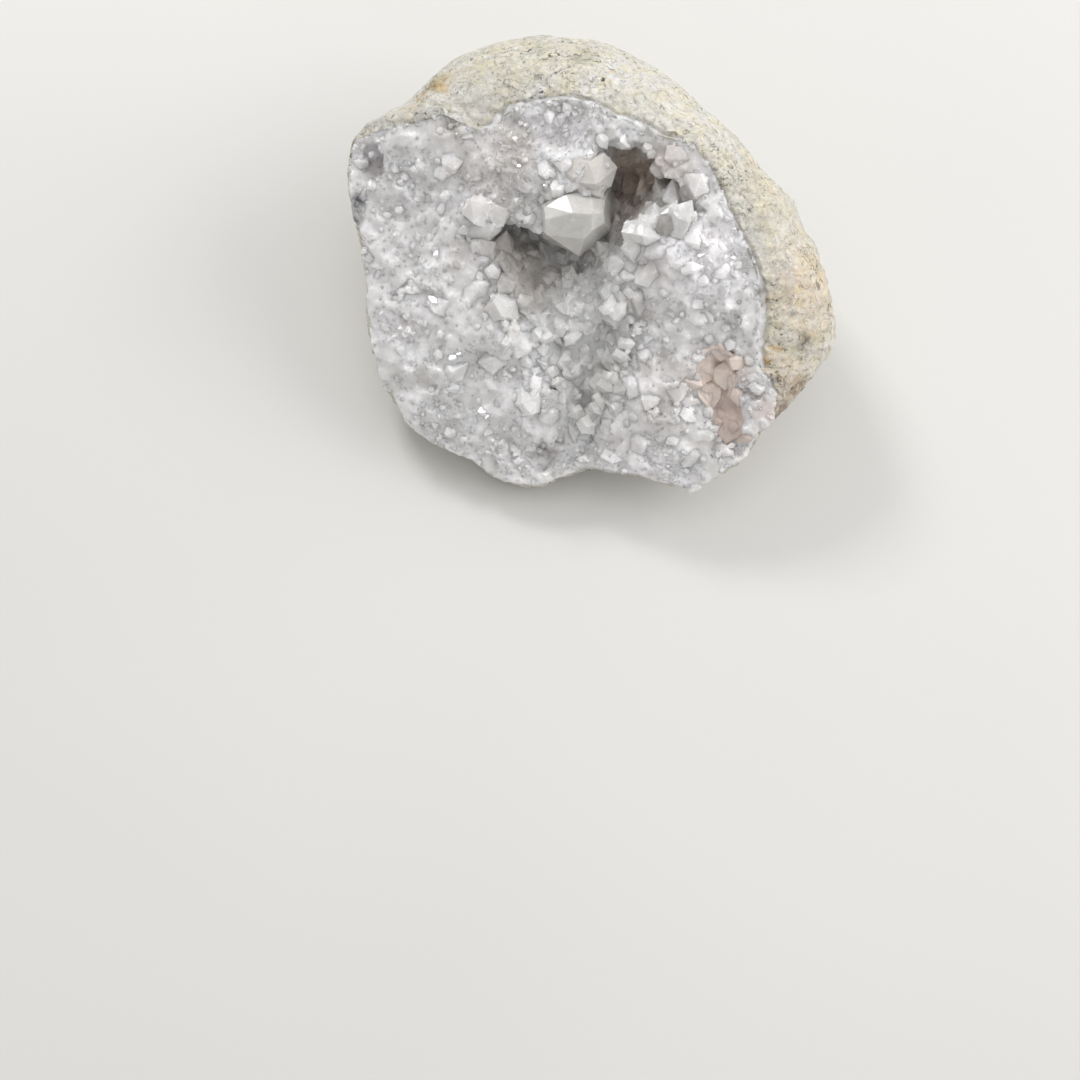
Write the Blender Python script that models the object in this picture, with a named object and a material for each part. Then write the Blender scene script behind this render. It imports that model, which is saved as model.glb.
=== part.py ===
"""Half of a broken quartz geode: a cream rind, the milky quartz wall with its broken face, the crust of
pointed crystals in the hollow, one large calcite crystal at the roof and peach lumps in a side pocket.

The broken face is laid out as it is seen from in front and above: u runs right, v runs up and w runs
towards the eye, all in metres. A sight line keeps its u and v, and every outline below is given on the
plane w = 0 through the middle of the face. The solids are then turned so that +Z is up, and they stand
on the flat spot under the rind with the origin below the middle of their box.
"""
import math
import random

import bpy
import numpy as np
from mathutils import Vector, noise
from mathutils.geometry import delaunay_2d_cdt

MM = 0.001

# Where the face is laid out from: height of the sight axis above the ground, the eye's distance and the
# foot of its axis on the plane w = 0
SIGHT_ELEVATION = math.radians(75)
EYE_DISTANCE = 378 * MM
EYE_FOOT = np.array([-10.8, -55.4]) * MM

# Sizes of the layers
RIND_THICKNESS = 1.8 * MM
RIND_LIP = 1.4 * MM           # how far the rind's broken edge is wide where it shows
QUARTZ_OVERLAP = 2.0 * MM     # how far the quartz stands over the rind's edge where it hides it
LIMB_DROP = 4.2 * MM          # least height of the rind's side below its edge
RIND_STEP = 0.4 * MM          # how far the rind's edge lies under the quartz's edge
HIDDEN_BAND = 0.4 * MM        # a band of rind this narrow is hidden by the quartz
SHOWN_BAND = 3.0 * MM         # and one this wide shows in full
GAP = 0.3 * MM
CRUST_THICKNESS = 1.3 * MM
CRUST_LIFT = 0.5 * MM
CRUST_INSET = 0.39 * MM       # how far the crust and the lumps stay inside the edge of their hollow
STEEPEST = 3.6                # most that a thickness is lengthened along the sight line on a steep flank
SLOPE_STEP = 0.4 * MM         # distance over which a slope is measured

# The broken face: a tilted plane with forms on it
FACE_RISE_RIGHT = 0.22
FACE_RISE_UP = 0.36
FACE_ROUGHNESS = 0.7 * MM

# The outside: where it is widest, its lowest point before the flat spot, and the flat spot's level
LIMB_LEVEL = -6.0 * MM
POLE_PLACE = np.array([3.0, 2.0]) * MM
POLE_HEIGHT = -41.5 * MM
DEEP_SIDE = 47 * MM           # height from pole to limb where the section is fullest
DEEP_FULLNESS = 0.9
SHALLOW_TAPER = 0.62
EVENED_SECTORS = 5            # sectors to each side over which the outline is evened towards the pole
REST_LEVEL = -38.0 * MM
RIND_ROUGHNESS = 0.8 * MM

# The hollow
FLOOR_LEVEL = -15.5 * MM
FLANK_SLOPE = 1.9
HIDDEN_FLANK_SLOPE = 4.0
EDGE_STEP = 0.9 * MM
HIDDEN_EDGE_HEIGHT = 2.2 * MM
HEADROOM = 1.1 * MM           # kept between the crust's crystals and the roof
VALLEY_FADE = 3.0 * MM        # distance over which the roof gives way to the open valley
MOUTH_FLOOR_LIFT = 0.6 * MM   # the mouth is cut this far above the floor of the hollow
ROOF_REACH = 1.5 * MM         # the roof counts this far in front of its edge
ROOF_THICKNESS = 4.0 * MM
ROOF_TAPER = 0.55
POCKET_DEPTH = 6.0 * MM
POCKET_SLOPE = 2.2
LUMP_SINK = 0.62              # share of the pocket's depth at which the lumps have their middle

# Fineness of the facets
SECTORS = 80
BAND_RINGS = 4
UNDER_RINGS = 7
INNER_BAND_RINGS = 2
INNER_UNDER_RINGS = 5

# The outline as seen, clockwise from the left shoulder, in millimetres
OUTLINE = [
    (-48.8, 23.8), (-46.2, 27.4), (-37.6, 32.0), (-32.0, 37.4), (-27.6, 41.0), (-22.6, 43.0), (-16.0, 44.6),
    (-11.6, 45.6), (-4.4, 45.0), (1.2, 44.2), (6.8, 41.6), (15.6, 36.6), (22.2, 30.6), (28.8, 24.8),
    (34.0, 18.0), (39.4, 12.8), (41.4, 7.4), (44.0, 4.2), (46.0, -1.8), (48.0, -9.8), (49.0, -13.8),
    (46.6, -19.0), (41.4, -25.6), (38.0, -29.6), (32.8, -34.4), (30.4, -38.8), (27.4, -40.6), (22.6, -44.0),
    (16.6, -45.6), (13.6, -43.6), (10.2, -42.6), (0.0, -41.0), (-5.8, -42.0), (-10.0, -44.6), (-15.6, -44.2),
    (-20.2, -43.0), (-25.0, -38.8), (-30.8, -36.8), (-35.8, -33.8), (-39.8, -28.2), (-42.8, -23.0),
    (-44.2, -17.4), (-45.2, -5.0), (-46.6, 5.4), (-49.2, 17.4),
]

# The line where the quartz ends and the rind begins, from the left shoulder over the top to the lower
# right; along the rest of the outline the quartz hides the rind
QUARTZ_EDGE = [
    (-47.4, 25.6), (-39.6, 27.6), (-32.8, 29.4), (-29.2, 30.6), (-25.0, 28.0), (-21.0, 25.8), (-17.6, 30.6),
    (-11.0, 32.6), (-6.0, 33.2), (0.2, 32.2), (5.0, 29.4), (10.2, 28.0), (13.6, 25.8), (20.2, 24.0),
    (24.8, 18.0), (26.8, 11.4), (29.4, 6.2), (33.4, -3.8), (33.6, -9.8), (32.6, -15.4), (33.2, -19.8),
    (35.4, -24.4), (37.4, -28.0), (38.2, -30.4),
]

# Forms of the broken face: (u, v, half width along u, half width along v, height), in millimetres
FACE_FORMS = {
    "hump": (18.0, 0.0, 9.5, 10.5, 5.0),
    "hump_shoulder": (25.0, 14.0, 6.0, 7.0, 1.5),
    "left_wing": (-31.0, -14.0, 11.0, 15.0, 2.4),
    "left_wing_lobe": (-19.0, -14.5, 6.0, 5.0, 2.6),
    "lower_lobe": (-11.5, -27.0, 5.0, 4.0, 2.8),
    "lower_right_mass": (14.0, -30.0, 8.5, 9.0, 2.8),
    "roof_brow": (-14.0, 19.0, 13.0, 6.0, 2.2),
    "roof_lump": (-22.5, 10.0, 5.0, 4.0, 3.2),
    "crystal_seat": (-3.0, 16.0, 6.5, 5.0, 2.6),
    "left_pit": (-44.0, 20.0, 2.0, 3.2, -3.2),
    "brow_dip": (-33.0, 12.0, 5.0, 7.0, -2.2),
    "valley_mouth": (-3.5, -37.0, 4.5, 6.0, -2.4),
    "bottom_ledge": (-10.0, -39.0, 5.5, 1.8, -2.2),
    "pocket_basin": (25.5, -27.0, 5.0, 9.0, -2.0),
}

# Forms of the hollow's floor, in the same way
FLOOR_FORMS = {
    "cluster": (-2.0, -8.5, 6.0, 6.0, 7.5),
    "lower_cluster": (-1.0, -21.0, 4.5, 4.0, 3.6),
    "glassy_crystals": (6.5, 6.0, 4.0, 3.5, 3.4),
    "back_columns": (11.0, 15.0, 4.0, 3.5, 4.0),
    "left_floor": (-12.0, 0.0, 5.0, 4.0, 1.5),
    "valley_end": (-2.5, -33.0, 4.0, 4.0, -1.5),
}

# The hollow's edge where it shows, from the left tip down the valley and up to the right tip
HOLLOW_SHOWN_EDGE = [
    (-27.0, 7.0), (-24.0, 3.6), (-19.6, 0.4), (-17.0, -3.8), (-13.8, -7.6), (-12.8, -11.4), (-10.6, -15.8),
    (-11.0, -20.4), (-8.4, -24.4), (-5.6, -28.0), (-5.0, -32.0), (-4.6, -35.2), (-1.0, -35.6), (1.2, -31.4),
    (2.8, -26.4), (5.6, -21.8), (7.6, -16.4), (7.4, -11.0), (5.4, -6.2), (5.2, -1.8), (7.2, 2.4), (10.8, 4.2),
    (13.4, 8.2), (17.2, 9.8), (22.4, 9.0),
]

# Its edge under the roof, from the right tip back to the left tip
HOLLOW_HIDDEN_EDGE = [
    (24.6, 12.6), (22.6, 18.6), (18.4, 23.6), (12.4, 27.2), (5.2, 28.4), (-2.0, 26.4), (-8.0, 21.5),
    (-14.0, 17.0), (-20.0, 14.0), (-25.8, 12.0),
]

# The roof's edge, from the right tip to the left tip
ROOF_EDGE = [
    (23.4, 11.2), (20.4, 11.6), (18.0, 13.0), (16.2, 16.8), (13.6, 16.8), (12.2, 20.0), (8.4, 24.2), (6.4, 23.0),
    (3.6, 24.0), (0.6, 22.6), (3.4, 20.0), (3.6, 16.6), (1.4, 13.2), (-3.4, 10.4), (-7.4, 9.0), (-10.6, 5.6),
    (-15.6, 7.8), (-18.6, 8.4), (-21.0, 6.8), (-24.4, 7.4), (-27.4, 8.2),
]

# The side pocket and the lumps in it: (u, v, radius), in millimetres
POCKET_EDGE = [
    (20.0, -21.0), (20.4, -26.6), (22.8, -29.6), (23.4, -33.4), (26.4, -36.4), (30.0, -34.4), (30.4, -30.0),
    (28.4, -26.4), (28.6, -22.4), (28.2, -18.4), (25.4, -15.6), (21.4, -16.8),
]
LUMPS = [
    (26.2, -22.6, 2.7), (23.2, -26.0, 2.6), (27.4, -32.2, 3.8), (22.4, -20.6, 2.2), (25.4, -17.8, 2.0),
    (26.6, -27.2, 2.1), (23.8, -29.8, 2.2), (28.6, -28.8, 1.7),
]

# The large crystal: its six corners where the point begins, its apex, and how far it runs back into the roof
CRYSTAL_CORNERS = [(-9.8, 11.0), (-5.6, 14.2), (0.8, 13.4), (2.6, 8.4), (-4.4, 2.8), (-10.0, 5.8)]
CRYSTAL_APEX = np.array([-4.2, 10.0, 9.8]) * MM
CRYSTAL_SHOULDER_LEVEL = 4.6 * MM
CRYSTAL_ROOT_SHIFT = np.array([1.2, 4.6]) * MM
CRYSTAL_ROOT_LEVEL = -3.2 * MM
CRYSTAL_ROOT_SCALE = 0.86

# Pointed crystals: how many are tried, their smallest and largest radius, and height to radius
FACE_CRYSTALS = (92, 1.2 * MM, 2.1 * MM, 0.75)
CRUST_CRYSTALS = (64, 1.4 * MM, 3.3 * MM, 1.35)
FACE_FILL = 3.5 * MM
CRUST_FILL = 3.0 * MM
COARSE_FILL = 4.4 * MM
LUMP_FILL = 1.25 * MM
EDGE_STEP_LENGTH = 2.6 * MM


def clear_scene():
    for old in list(bpy.data.objects):
        bpy.data.objects.remove(old)


def principled(name, colour, roughness):
    material = bpy.data.materials.new(name)
    material.use_nodes = True
    shader = material.node_tree.nodes["Principled BSDF"]
    shader.inputs["Base Color"].default_value = (*colour, 1)
    shader.inputs["Roughness"].default_value = roughness
    shader.inputs["Metallic"].default_value = 0
    return material


def in_metres(points):
    return np.array(points, dtype=float) * MM


# Layout of the face

def radius_at(points, angle):
    """Distance from the middle to a closed outline at an angle, evenly spread between its points."""
    points = in_metres(points)
    angles = np.arctan2(points[:, 1], points[:, 0])
    radii = np.hypot(points[:, 0], points[:, 1])
    order = np.argsort(angles)
    turn = 2 * math.pi
    angles = np.concatenate([angles[order] - turn, angles[order], angles[order] + turn])
    radii = np.tile(radii[order], 3)
    return np.interp(angle, angles, radii)


def outline_radius(angle):
    return radius_at(OUTLINE, angle)


def quartz_radius(angle):
    """The quartz reaches the outline, except where QUARTZ_EDGE says that the rind shows."""
    edge = in_metres(QUARTZ_EDGE)
    first = math.atan2(edge[0, 1], edge[0, 0])
    last = math.atan2(edge[-1, 1], edge[-1, 0])
    shown = (angle < first) & (angle > last)
    rim = np.minimum(radius_at(QUARTZ_EDGE, angle), outline_radius(angle))
    return np.where(shown, rim, outline_radius(angle))


def edge_gap(angle):
    """The gap measured outwards from the middle, wider where the quartz's edge slants outwards."""
    step = math.radians(2)
    change = (quartz_radius(angle + step) - quartz_radius(angle - step)) / (2 * step)
    return GAP * np.sqrt(1 + (change / quartz_radius(angle)) ** 2)


def cover_at(angle):
    """1 where the quartz hides the rind's edge, 0 where a band of rind shows, eased between sectors."""
    sector = 2 * math.pi / SECTORS
    cover = 0
    for turned in (angle - sector, angle, angle + sector):
        turned = (turned + math.pi) % (2 * math.pi) - math.pi
        band = outline_radius(turned) - quartz_radius(turned)
        cover = cover + np.clip((SHOWN_BAND - band) / (SHOWN_BAND - HIDDEN_BAND), 0, 1) / 3
    return cover


def forms_height(forms, u, v):
    total = 0.0
    for centre_u, centre_v, half_u, half_v, height in forms.values():
        reach = ((u / MM - centre_u) / half_u) ** 2 + ((v / MM - centre_v) / half_v) ** 2
        total += height * MM * math.exp(-reach)
    return total


def roughness_at(u, v, pitch, seed):
    return noise.noise(Vector((u / pitch, v / pitch, seed)))


def face_level(u, v):
    plane = FACE_RISE_RIGHT * u + FACE_RISE_UP * v
    rough = FACE_ROUGHNESS * roughness_at(u, v, 5.5 * MM, 3.7)
    return plane + forms_height(FACE_FORMS, u, v) + rough


def edge_distance(polygon, u, v):
    """Distance from a point to a closed polygon, positive inside it."""
    start = polygon
    run = np.roll(polygon, -1, axis=0) - start
    offset = np.array([u, v]) - start
    along = np.clip((offset * run).sum(axis=1) / (run * run).sum(axis=1), 0, 1)
    nearest = np.hypot(*(offset - run * along[:, None]).T).min()
    crosses = (start[:, 1] > v) != (np.roll(start[:, 1], -1) > v)
    with np.errstate(divide="ignore", invalid="ignore"):
        meets = start[:, 0] + (v - start[:, 1]) / run[:, 1] * run[:, 0]
    inside = np.count_nonzero(crosses & (u < meets)) % 2 == 1
    return nearest if inside else -nearest


HOLLOW = in_metres(HOLLOW_SHOWN_EDGE + HOLLOW_HIDDEN_EDGE)
MOUTH = in_metres(HOLLOW_SHOWN_EDGE + ROOF_EDGE)
POCKET = in_metres(POCKET_EDGE)


def ceiling_level(u, v):
    """Underside of the roof, which thickens away from its edge."""
    under_roof = max(0.0, -edge_distance(MOUTH, u, v))
    rough = FACE_ROUGHNESS * roughness_at(u, v, 4.0 * MM, 9.1)
    return face_level(u, v) - ROOF_THICKNESS - ROOF_TAPER * under_roof + rough


def hollow_floor(u, v):
    """The hollow's rock floor: steep flanks that start just below the face or the ceiling."""
    inset = max(0.0, edge_distance(HOLLOW, u, v))
    under_roof = min(1.0, max(0.0, -edge_distance(MOUTH, u, v)) / (1 * MM))
    top = face_level(u, v) * (1 - under_roof) + ceiling_level(u, v) * under_roof
    step = EDGE_STEP + HIDDEN_EDGE_HEIGHT * under_roof
    slope = FLANK_SLOPE + (HIDDEN_FLANK_SLOPE - FLANK_SLOPE) * under_roof
    flank = top - step - slope * inset
    rough = 1.2 * FACE_ROUGHNESS * roughness_at(u, v, 4.5 * MM, 21.3)
    floor = FLOOR_LEVEL + forms_height(FLOOR_FORMS, u, v) + rough
    return max(flank, min(floor, top - step))


def pocket_floor(u, v):
    inset = max(0.0, edge_distance(POCKET, u, v))
    depth = min(POCKET_DEPTH, EDGE_STEP + POCKET_SLOPE * inset)
    return face_level(u, v) - depth


# From the layout to the real place

def at_place(u, v, w):
    """A point on the sight line through (u, v), at the level w, turned so that +Z is up."""
    nearer = 1 - w / EYE_DISTANCE
    right = EYE_FOOT[0] + (u - EYE_FOOT[0]) * nearer
    up = EYE_FOOT[1] + (v - EYE_FOOT[1]) * nearer
    sine = math.sin(SIGHT_ELEVATION)
    cosine = math.cos(SIGHT_ELEVATION)
    return np.array([right, up * sine - w * cosine, up * cosine + w * sine])


# Triangulated patches over the layout

def spaced_ring(polygon, step):
    """The polygon with its long sides divided so that no side is longer than about step."""
    ring = []
    for start, end in zip(polygon, np.roll(polygon, -1, axis=0)):
        count = max(1, round(np.linalg.norm(end - start) / step))
        ring.extend(start + (end - start) * k / count for k in range(count))
    return np.array(ring)


def inset_ring(ring, distance):
    """The ring moved inwards; it runs anticlockwise."""
    ahead = np.roll(ring, -1, axis=0) - ring
    behind = ring - np.roll(ring, 1, axis=0)
    run = ahead / np.linalg.norm(ahead, axis=1)[:, None] + behind / np.linalg.norm(behind, axis=1)[:, None]
    inward = np.column_stack([-run[:, 1], run[:, 0]])
    return ring + distance * inward / np.linalg.norm(inward, axis=1)[:, None]


def fill_points(polygon, step, margin, random_source, jitter=0.28):
    """A shaken triangular grid inside a polygon, at least margin from its edge."""
    low = polygon.min(axis=0)
    high = polygon.max(axis=0)
    points = []
    row = 0
    v = low[1]
    while v < high[1]:
        u = low[0] + (row % 2) * step / 2
        while u < high[0]:
            point = np.array([u, v]) + step * jitter * np.array([random_source.uniform(-1, 1) for _ in range(2)])
            if edge_distance(polygon, *point) > margin:
                points.append(point)
            u += step
        v += step * math.sqrt(3) / 2
        row += 1
    return points


def triangulated(ring, inner_points):
    """Triangles over a closed ring and the points inside it, all anticlockwise."""
    points = [Vector(point) for point in list(ring) + list(inner_points)]
    count = len(ring)
    edges = [(index, (index + 1) % count) for index in range(count)]
    placed, _, faces, origins, _, _ = delaunay_2d_cdt(points, edges, [], 1, 1e-7)
    source = [origin[0] for origin in origins]
    turned = []
    for face in faces:
        a, b, c = (placed[index] for index in face)
        triangle = [source[index] for index in face]
        if (b - a).cross(c - a) < 0:
            triangle.reverse()
        turned.append(tuple(triangle))
    return turned


def faceted_level(ring, inner_points, faces, level):
    """The level of the flat facets between the points, instead of the curved surface through them."""
    points = np.array(levelled(list(ring) + list(inner_points), level))
    corners = points[np.array(faces)]
    a, b, c = corners[:, 0], corners[:, 1], corners[:, 2]
    area = (b[:, 0] - a[:, 0]) * (c[:, 1] - a[:, 1]) - (c[:, 0] - a[:, 0]) * (b[:, 1] - a[:, 1])

    def at(u, v):
        share_b = ((u - a[:, 0]) * (c[:, 1] - a[:, 1]) - (c[:, 0] - a[:, 0]) * (v - a[:, 1])) / area
        share_c = ((b[:, 0] - a[:, 0]) * (v - a[:, 1]) - (u - a[:, 0]) * (b[:, 1] - a[:, 1])) / area
        share_a = 1 - share_b - share_c
        best = np.argmax(np.minimum(np.minimum(share_a, share_b), share_c))
        return share_a[best] * a[best, 2] + share_b[best] * b[best, 2] + share_c[best] * c[best, 2]

    return at


def along_sight(level, u, v):
    """How much longer a thickness is along the sight line than at right angles to a sloping surface."""
    step = SLOPE_STEP
    rise_u = (level(u + step, v) - level(u - step, v)) / (2 * step)
    rise_v = (level(u, v + step) - level(u, v - step)) / (2 * step)
    return min(STEEPEST, math.sqrt(1 + rise_u ** 2 + rise_v ** 2))


def crystal_sites(polygon, settings, holes, random_source):
    """Places and sizes of pointed crystals that don't crowd each other or an edge."""
    count, smallest, largest, _ = settings
    low = polygon.min(axis=0)
    high = polygon.max(axis=0)
    sites = []
    for _ in range(count * 40):
        if len(sites) >= count:
            break
        place = np.array([random_source.uniform(low[axis], high[axis]) for axis in range(2)])
        radius = smallest + (largest - smallest) * random_source.random() ** 2
        if edge_distance(polygon, *place) < radius + 0.5 * MM:
            continue
        if any(edge_distance(hole, *place) > -(radius + 0.5 * MM) for hole in holes):
            continue
        if any(np.hypot(*(place - other)) < radius + size + 0.25 * MM for other, size in sites):
            continue
        sites.append((place, radius))
    return sites


def crystal_points(sites, level, steepness, random_source):
    """The foot corners and the apex of each six-sided point, as (u, v, w)."""
    points = []
    for place, radius in sites:
        turn = random_source.uniform(0, math.pi / 3)
        for corner in range(6):
            angle = turn + corner * math.pi / 3
            u = place[0] + radius * math.cos(angle)
            v = place[1] + radius * math.sin(angle)
            points.append((u, v, level(u, v)))
        lean = [random_source.uniform(-0.3, 0.3) * radius for _ in range(2)]
        rise = steepness * radius * random_source.uniform(0.75, 1.2)
        points.append((place[0] + lean[0], place[1] + lean[1], level(*place) + rise))
    return points


def without_crowding(points, sites, clearance):
    return [p for p in points if all(np.hypot(*(p - place)) > radius + clearance for place, radius in sites)]


# Solids

def make_object(name, vertices, faces, material):
    mesh = bpy.data.meshes.new(name)
    mesh.from_pydata([tuple(vertex) for vertex in vertices], [], faces)
    mesh.validate()
    mesh.update()
    made = bpy.data.objects.new(name, mesh)
    bpy.context.collection.objects.link(made)
    if material:
        mesh.materials.append(material)
    return made


def cut_with(target, cutter):
    cutter.hide_render = True
    cutter.display_type = "WIRE"
    cut = target.modifiers.new(cutter.name, "BOOLEAN")
    cut.operation = "DIFFERENCE"
    cut.solver = "EXACT"
    cut.object = cutter


def patch_solid(name, top_ring, top_inner, bottom_ring, bottom_inner, bottom_faces, material):
    """A closed solid between a top patch and a bottom patch whose rings have the same number of points.
    Every point is (u, v, w)."""
    top = np.array(list(top_ring) + list(top_inner))
    bottom = np.array(list(bottom_ring) + list(bottom_inner))
    count = len(top_ring)
    top_faces = triangulated(top[:count, :2], top[count:, :2])
    shift = len(top)
    faces = list(top_faces)
    faces += [tuple(index + shift for index in reversed(face)) for face in bottom_faces]
    for index in range(count):
        after = (index + 1) % count
        faces.append((index, index + shift, after + shift))
        faces.append((index, after + shift, after))
    vertices = [at_place(*point) for point in np.vstack([top, bottom])]
    return make_object(name, vertices, faces, material)


def levelled(points, level):
    return [(u, v, level(u, v)) for u, v in points]


def height_of(v, w):
    """Height above the ground's direction of a place given by v and w, without perspective."""
    return v * math.cos(SIGHT_ELEVATION) + w * math.sin(SIGHT_ELEVATION)


def level_of(v, height):
    return (height - v * math.cos(SIGHT_ELEVATION)) / math.sin(SIGHT_ELEVATION)


def evened(values):
    """Values around the stone, each averaged with those of the sectors beside it."""
    shifts = range(-EVENED_SECTORS, EVENED_SECTORS + 1)
    return np.mean([np.roll(values, shift) for shift in shifts], axis=0)


def outside_sections():
    """Rings of the rind's outer surface from its broken edge down to the pole, as (u, v, w) per sector."""
    angles = np.linspace(-math.pi, math.pi, SECTORS, endpoint=False)
    rings = []
    limb = outline_radius(angles)
    quartz = quartz_radius(angles)
    cover = cover_at(angles)
    face = np.array([face_level(r * math.cos(a), r * math.sin(a)) for r, a in zip(quartz, angles)])
    edge = np.minimum(quartz + RIND_LIP, limb) * (1 - cover) + (limb - GAP) * cover
    edge_level = face - RIND_STEP - cover * QUARTZ_OVERLAP
    limb_level = np.minimum(LIMB_LEVEL, edge_level - LIMB_DROP)
    directions = np.column_stack([np.cos(angles), np.sin(angles)])
    across = limb[:, None] * directions
    limb_height = height_of(across[:, 1], limb_level)
    even_across = evened(limb)[:, None] * directions
    even_height = evened(limb_height)
    taper = DEEP_FULLNESS * (DEEP_SIDE / (even_height - POLE_HEIGHT)) ** SHALLOW_TAPER
    for step in range(BAND_RINGS):
        turn = math.pi / 2 * step / BAND_RINGS
        radius = edge + (limb - edge) * math.sin(turn)
        level = limb_level + (edge_level - limb_level) * math.cos(turn)
        rings.append(np.column_stack([radius * np.cos(angles), radius * np.sin(angles), level]))
    for step in range(UNDER_RINGS):
        turn = math.pi / 2 * step / UNDER_RINGS
        depth = math.sin(turn)
        reach = math.cos(turn) ** taper
        around = across * (1 - depth) + even_across * depth
        place = POLE_PLACE + (around - POLE_PLACE) * reach[:, None]
        widest = limb_height * (1 - depth) + even_height * depth
        height = widest + (POLE_HEIGHT - widest) * depth
        rings.append(np.column_stack([place, level_of(place[:, 1], height)]))
    return np.array(rings)


def weathered(point, strength):
    """Lumps and shallow pits of the outside, moved along the line from the middle of the stone."""
    centre = at_place(0, 0, -15 * MM)
    out = Vector(point - centre).normalized()
    lumps = noise.noise(Vector(point) / (17 * MM))
    grain = 0.5 * noise.noise(Vector(point) / (7 * MM) + Vector((5, 2, 9)))
    return point + np.array(out) * (lumps + grain) * strength


def surface_normals(grid):
    """Outward normals of a grid of rings that run from the broken edge to the pole."""
    around = np.roll(grid, -1, axis=1) - np.roll(grid, 1, axis=1)
    down = np.gradient(grid, axis=0)
    normals = np.cross(down, around)
    return normals / np.linalg.norm(normals, axis=2)[:, :, None]


def outer_grid():
    rings = outside_sections()
    grid = np.array([[at_place(*point) for point in ring] for ring in rings])
    for row in range(1, len(grid)):
        strength = RIND_ROUGHNESS * (0.4 if row <= BAND_RINGS else 1.0)
        grid[row] = [weathered(point, strength) for point in grid[row]]
    return grid


def rested(grid, level):
    """The grid with everything below the flat spot's level brought up to it."""
    flat = grid.copy()
    flat[:, :, 2] = np.maximum(flat[:, :, 2], level)
    return flat


def shell_faces(rows, columns, start, flip):
    faces = []
    for row in range(rows - 1):
        for column in range(columns):
            after = (column + 1) % columns
            a = start + row * columns + column
            b = start + row * columns + after
            c = start + (row + 1) * columns + after
            d = start + (row + 1) * columns + column
            quads = [(a, d, c), (a, c, b)]
            faces += [tuple(reversed(face)) for face in quads] if flip else quads
    return faces


def cap_faces(row_start, columns, pole, flip):
    faces = [(row_start + k, pole, row_start + (k + 1) % columns) for k in range(columns)]
    return [tuple(reversed(face)) for face in faces] if flip else faces


def inner_rows():
    """Which rows of the outer grid the inner surfaces follow."""
    band = np.linspace(0, BAND_RINGS, INNER_BAND_RINGS, endpoint=False)
    under = BAND_RINGS + np.linspace(0, UNDER_RINGS - 1, INNER_UNDER_RINGS)
    return np.round(np.concatenate([band, under])).astype(int)


def offset_grid(grid, distance):
    """The inner surface at a distance under the outer one, with its own flat."""
    normals = surface_normals(grid)
    moved = grid - normals * distance
    return rested(moved[inner_rows()], REST_LEVEL + distance)


def pole_point(level_above_rest):
    point = at_place(*POLE_PLACE, level_of(POLE_PLACE[1], POLE_HEIGHT))
    point[2] = REST_LEVEL + level_above_rest
    return point


def rind(grid, quartz_rim, material):
    outer = rested(grid, REST_LEVEL)
    inner = offset_grid(grid, RIND_THICKNESS)
    inner[0] = quartz_rim
    vertices = list(outer.reshape(-1, 3)) + [pole_point(0)]
    inner_start = len(vertices)
    vertices += list(inner.reshape(-1, 3)) + [pole_point(RIND_THICKNESS)]
    columns = outer.shape[1]
    faces = shell_faces(len(outer), columns, 0, False)
    faces += cap_faces((len(outer) - 1) * columns, columns, inner_start - 1, False)
    faces += shell_faces(len(inner), columns, inner_start, True)
    faces += cap_faces(inner_start + (len(inner) - 1) * columns, columns, len(vertices) - 1, True)
    for column in range(columns):
        after = (column + 1) % columns
        faces.append((column, after, inner_start + after))
        faces.append((column, inner_start + after, inner_start + column))
    return make_object("rind", vertices, faces, material)


def rim_points():
    """Three rings at the broken edge: the quartz's edge, the underside of its overlap, and the rind's
    inner edge, all as real places."""
    angles = np.linspace(-math.pi, math.pi, SECTORS, endpoint=False)
    quartz = quartz_radius(angles)
    cover = cover_at(angles)
    limb = outline_radius(angles)
    gap = edge_gap(angles)
    quartz_ring = []
    overlap_ring = []
    rind_ring = []
    for index, angle in enumerate(angles):
        direction = np.array([math.cos(angle), math.sin(angle)])
        shown = 1 - cover[index]
        edge = direction * (quartz[index] - gap[index] * shown)
        level = face_level(*(direction * quartz[index]))
        drop = QUARTZ_OVERLAP * cover[index]
        quartz_ring.append((*edge, level))
        overlap_ring.append((*edge, level - drop + GAP * min(1.0, 2 * cover[index]) - 0.5 * GAP * shown))
        inner = quartz[index] * shown + (limb[index] - RIND_THICKNESS) * cover[index]
        rind_ring.append((*(direction * inner), level - drop - 0.1 * MM))
    return quartz_ring, overlap_ring, rind_ring


def quartz_wall(grid, quartz_ring, overlap_ring, rind_ring, material):
    random_source = random.Random(11)
    polygon = np.array(quartz_ring)[:, :2]
    sites = crystal_sites(polygon, FACE_CRYSTALS, [MOUTH, POCKET], random_source)
    fill = fill_points(polygon, FACE_FILL, 1.6 * MM, random_source)
    fill = [p for p in fill if edge_distance(MOUTH, *p) < 2 * MM]
    fill = without_crowding(fill, sites, 0.9 * MM)
    face_points = levelled(fill, face_level)
    face_points += crystal_points(sites, face_level, FACE_CRYSTALS[3], random_source)
    top = list(quartz_ring) + face_points
    faces = triangulated(polygon, np.array(face_points)[:, :2])
    vertices = [at_place(*point) for point in top]
    under = offset_grid(grid, RIND_THICKNESS + GAP)
    under[0] = seat_ring(rind_ring)
    overlap_start = len(vertices)
    vertices += [at_place(*point) for point in overlap_ring]
    under_start = len(vertices)
    vertices += list(under.reshape(-1, 3)) + [pole_point(RIND_THICKNESS + GAP)]
    columns = SECTORS
    faces += joined_rings(0, overlap_start, columns)
    faces += joined_rings(overlap_start, under_start, columns)
    faces += shell_faces(len(under), columns, under_start, False)
    faces += cap_faces(under_start + (len(under) - 1) * columns, columns, len(vertices) - 1, False)
    return make_object("quartz_wall", vertices, faces, material)


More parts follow.
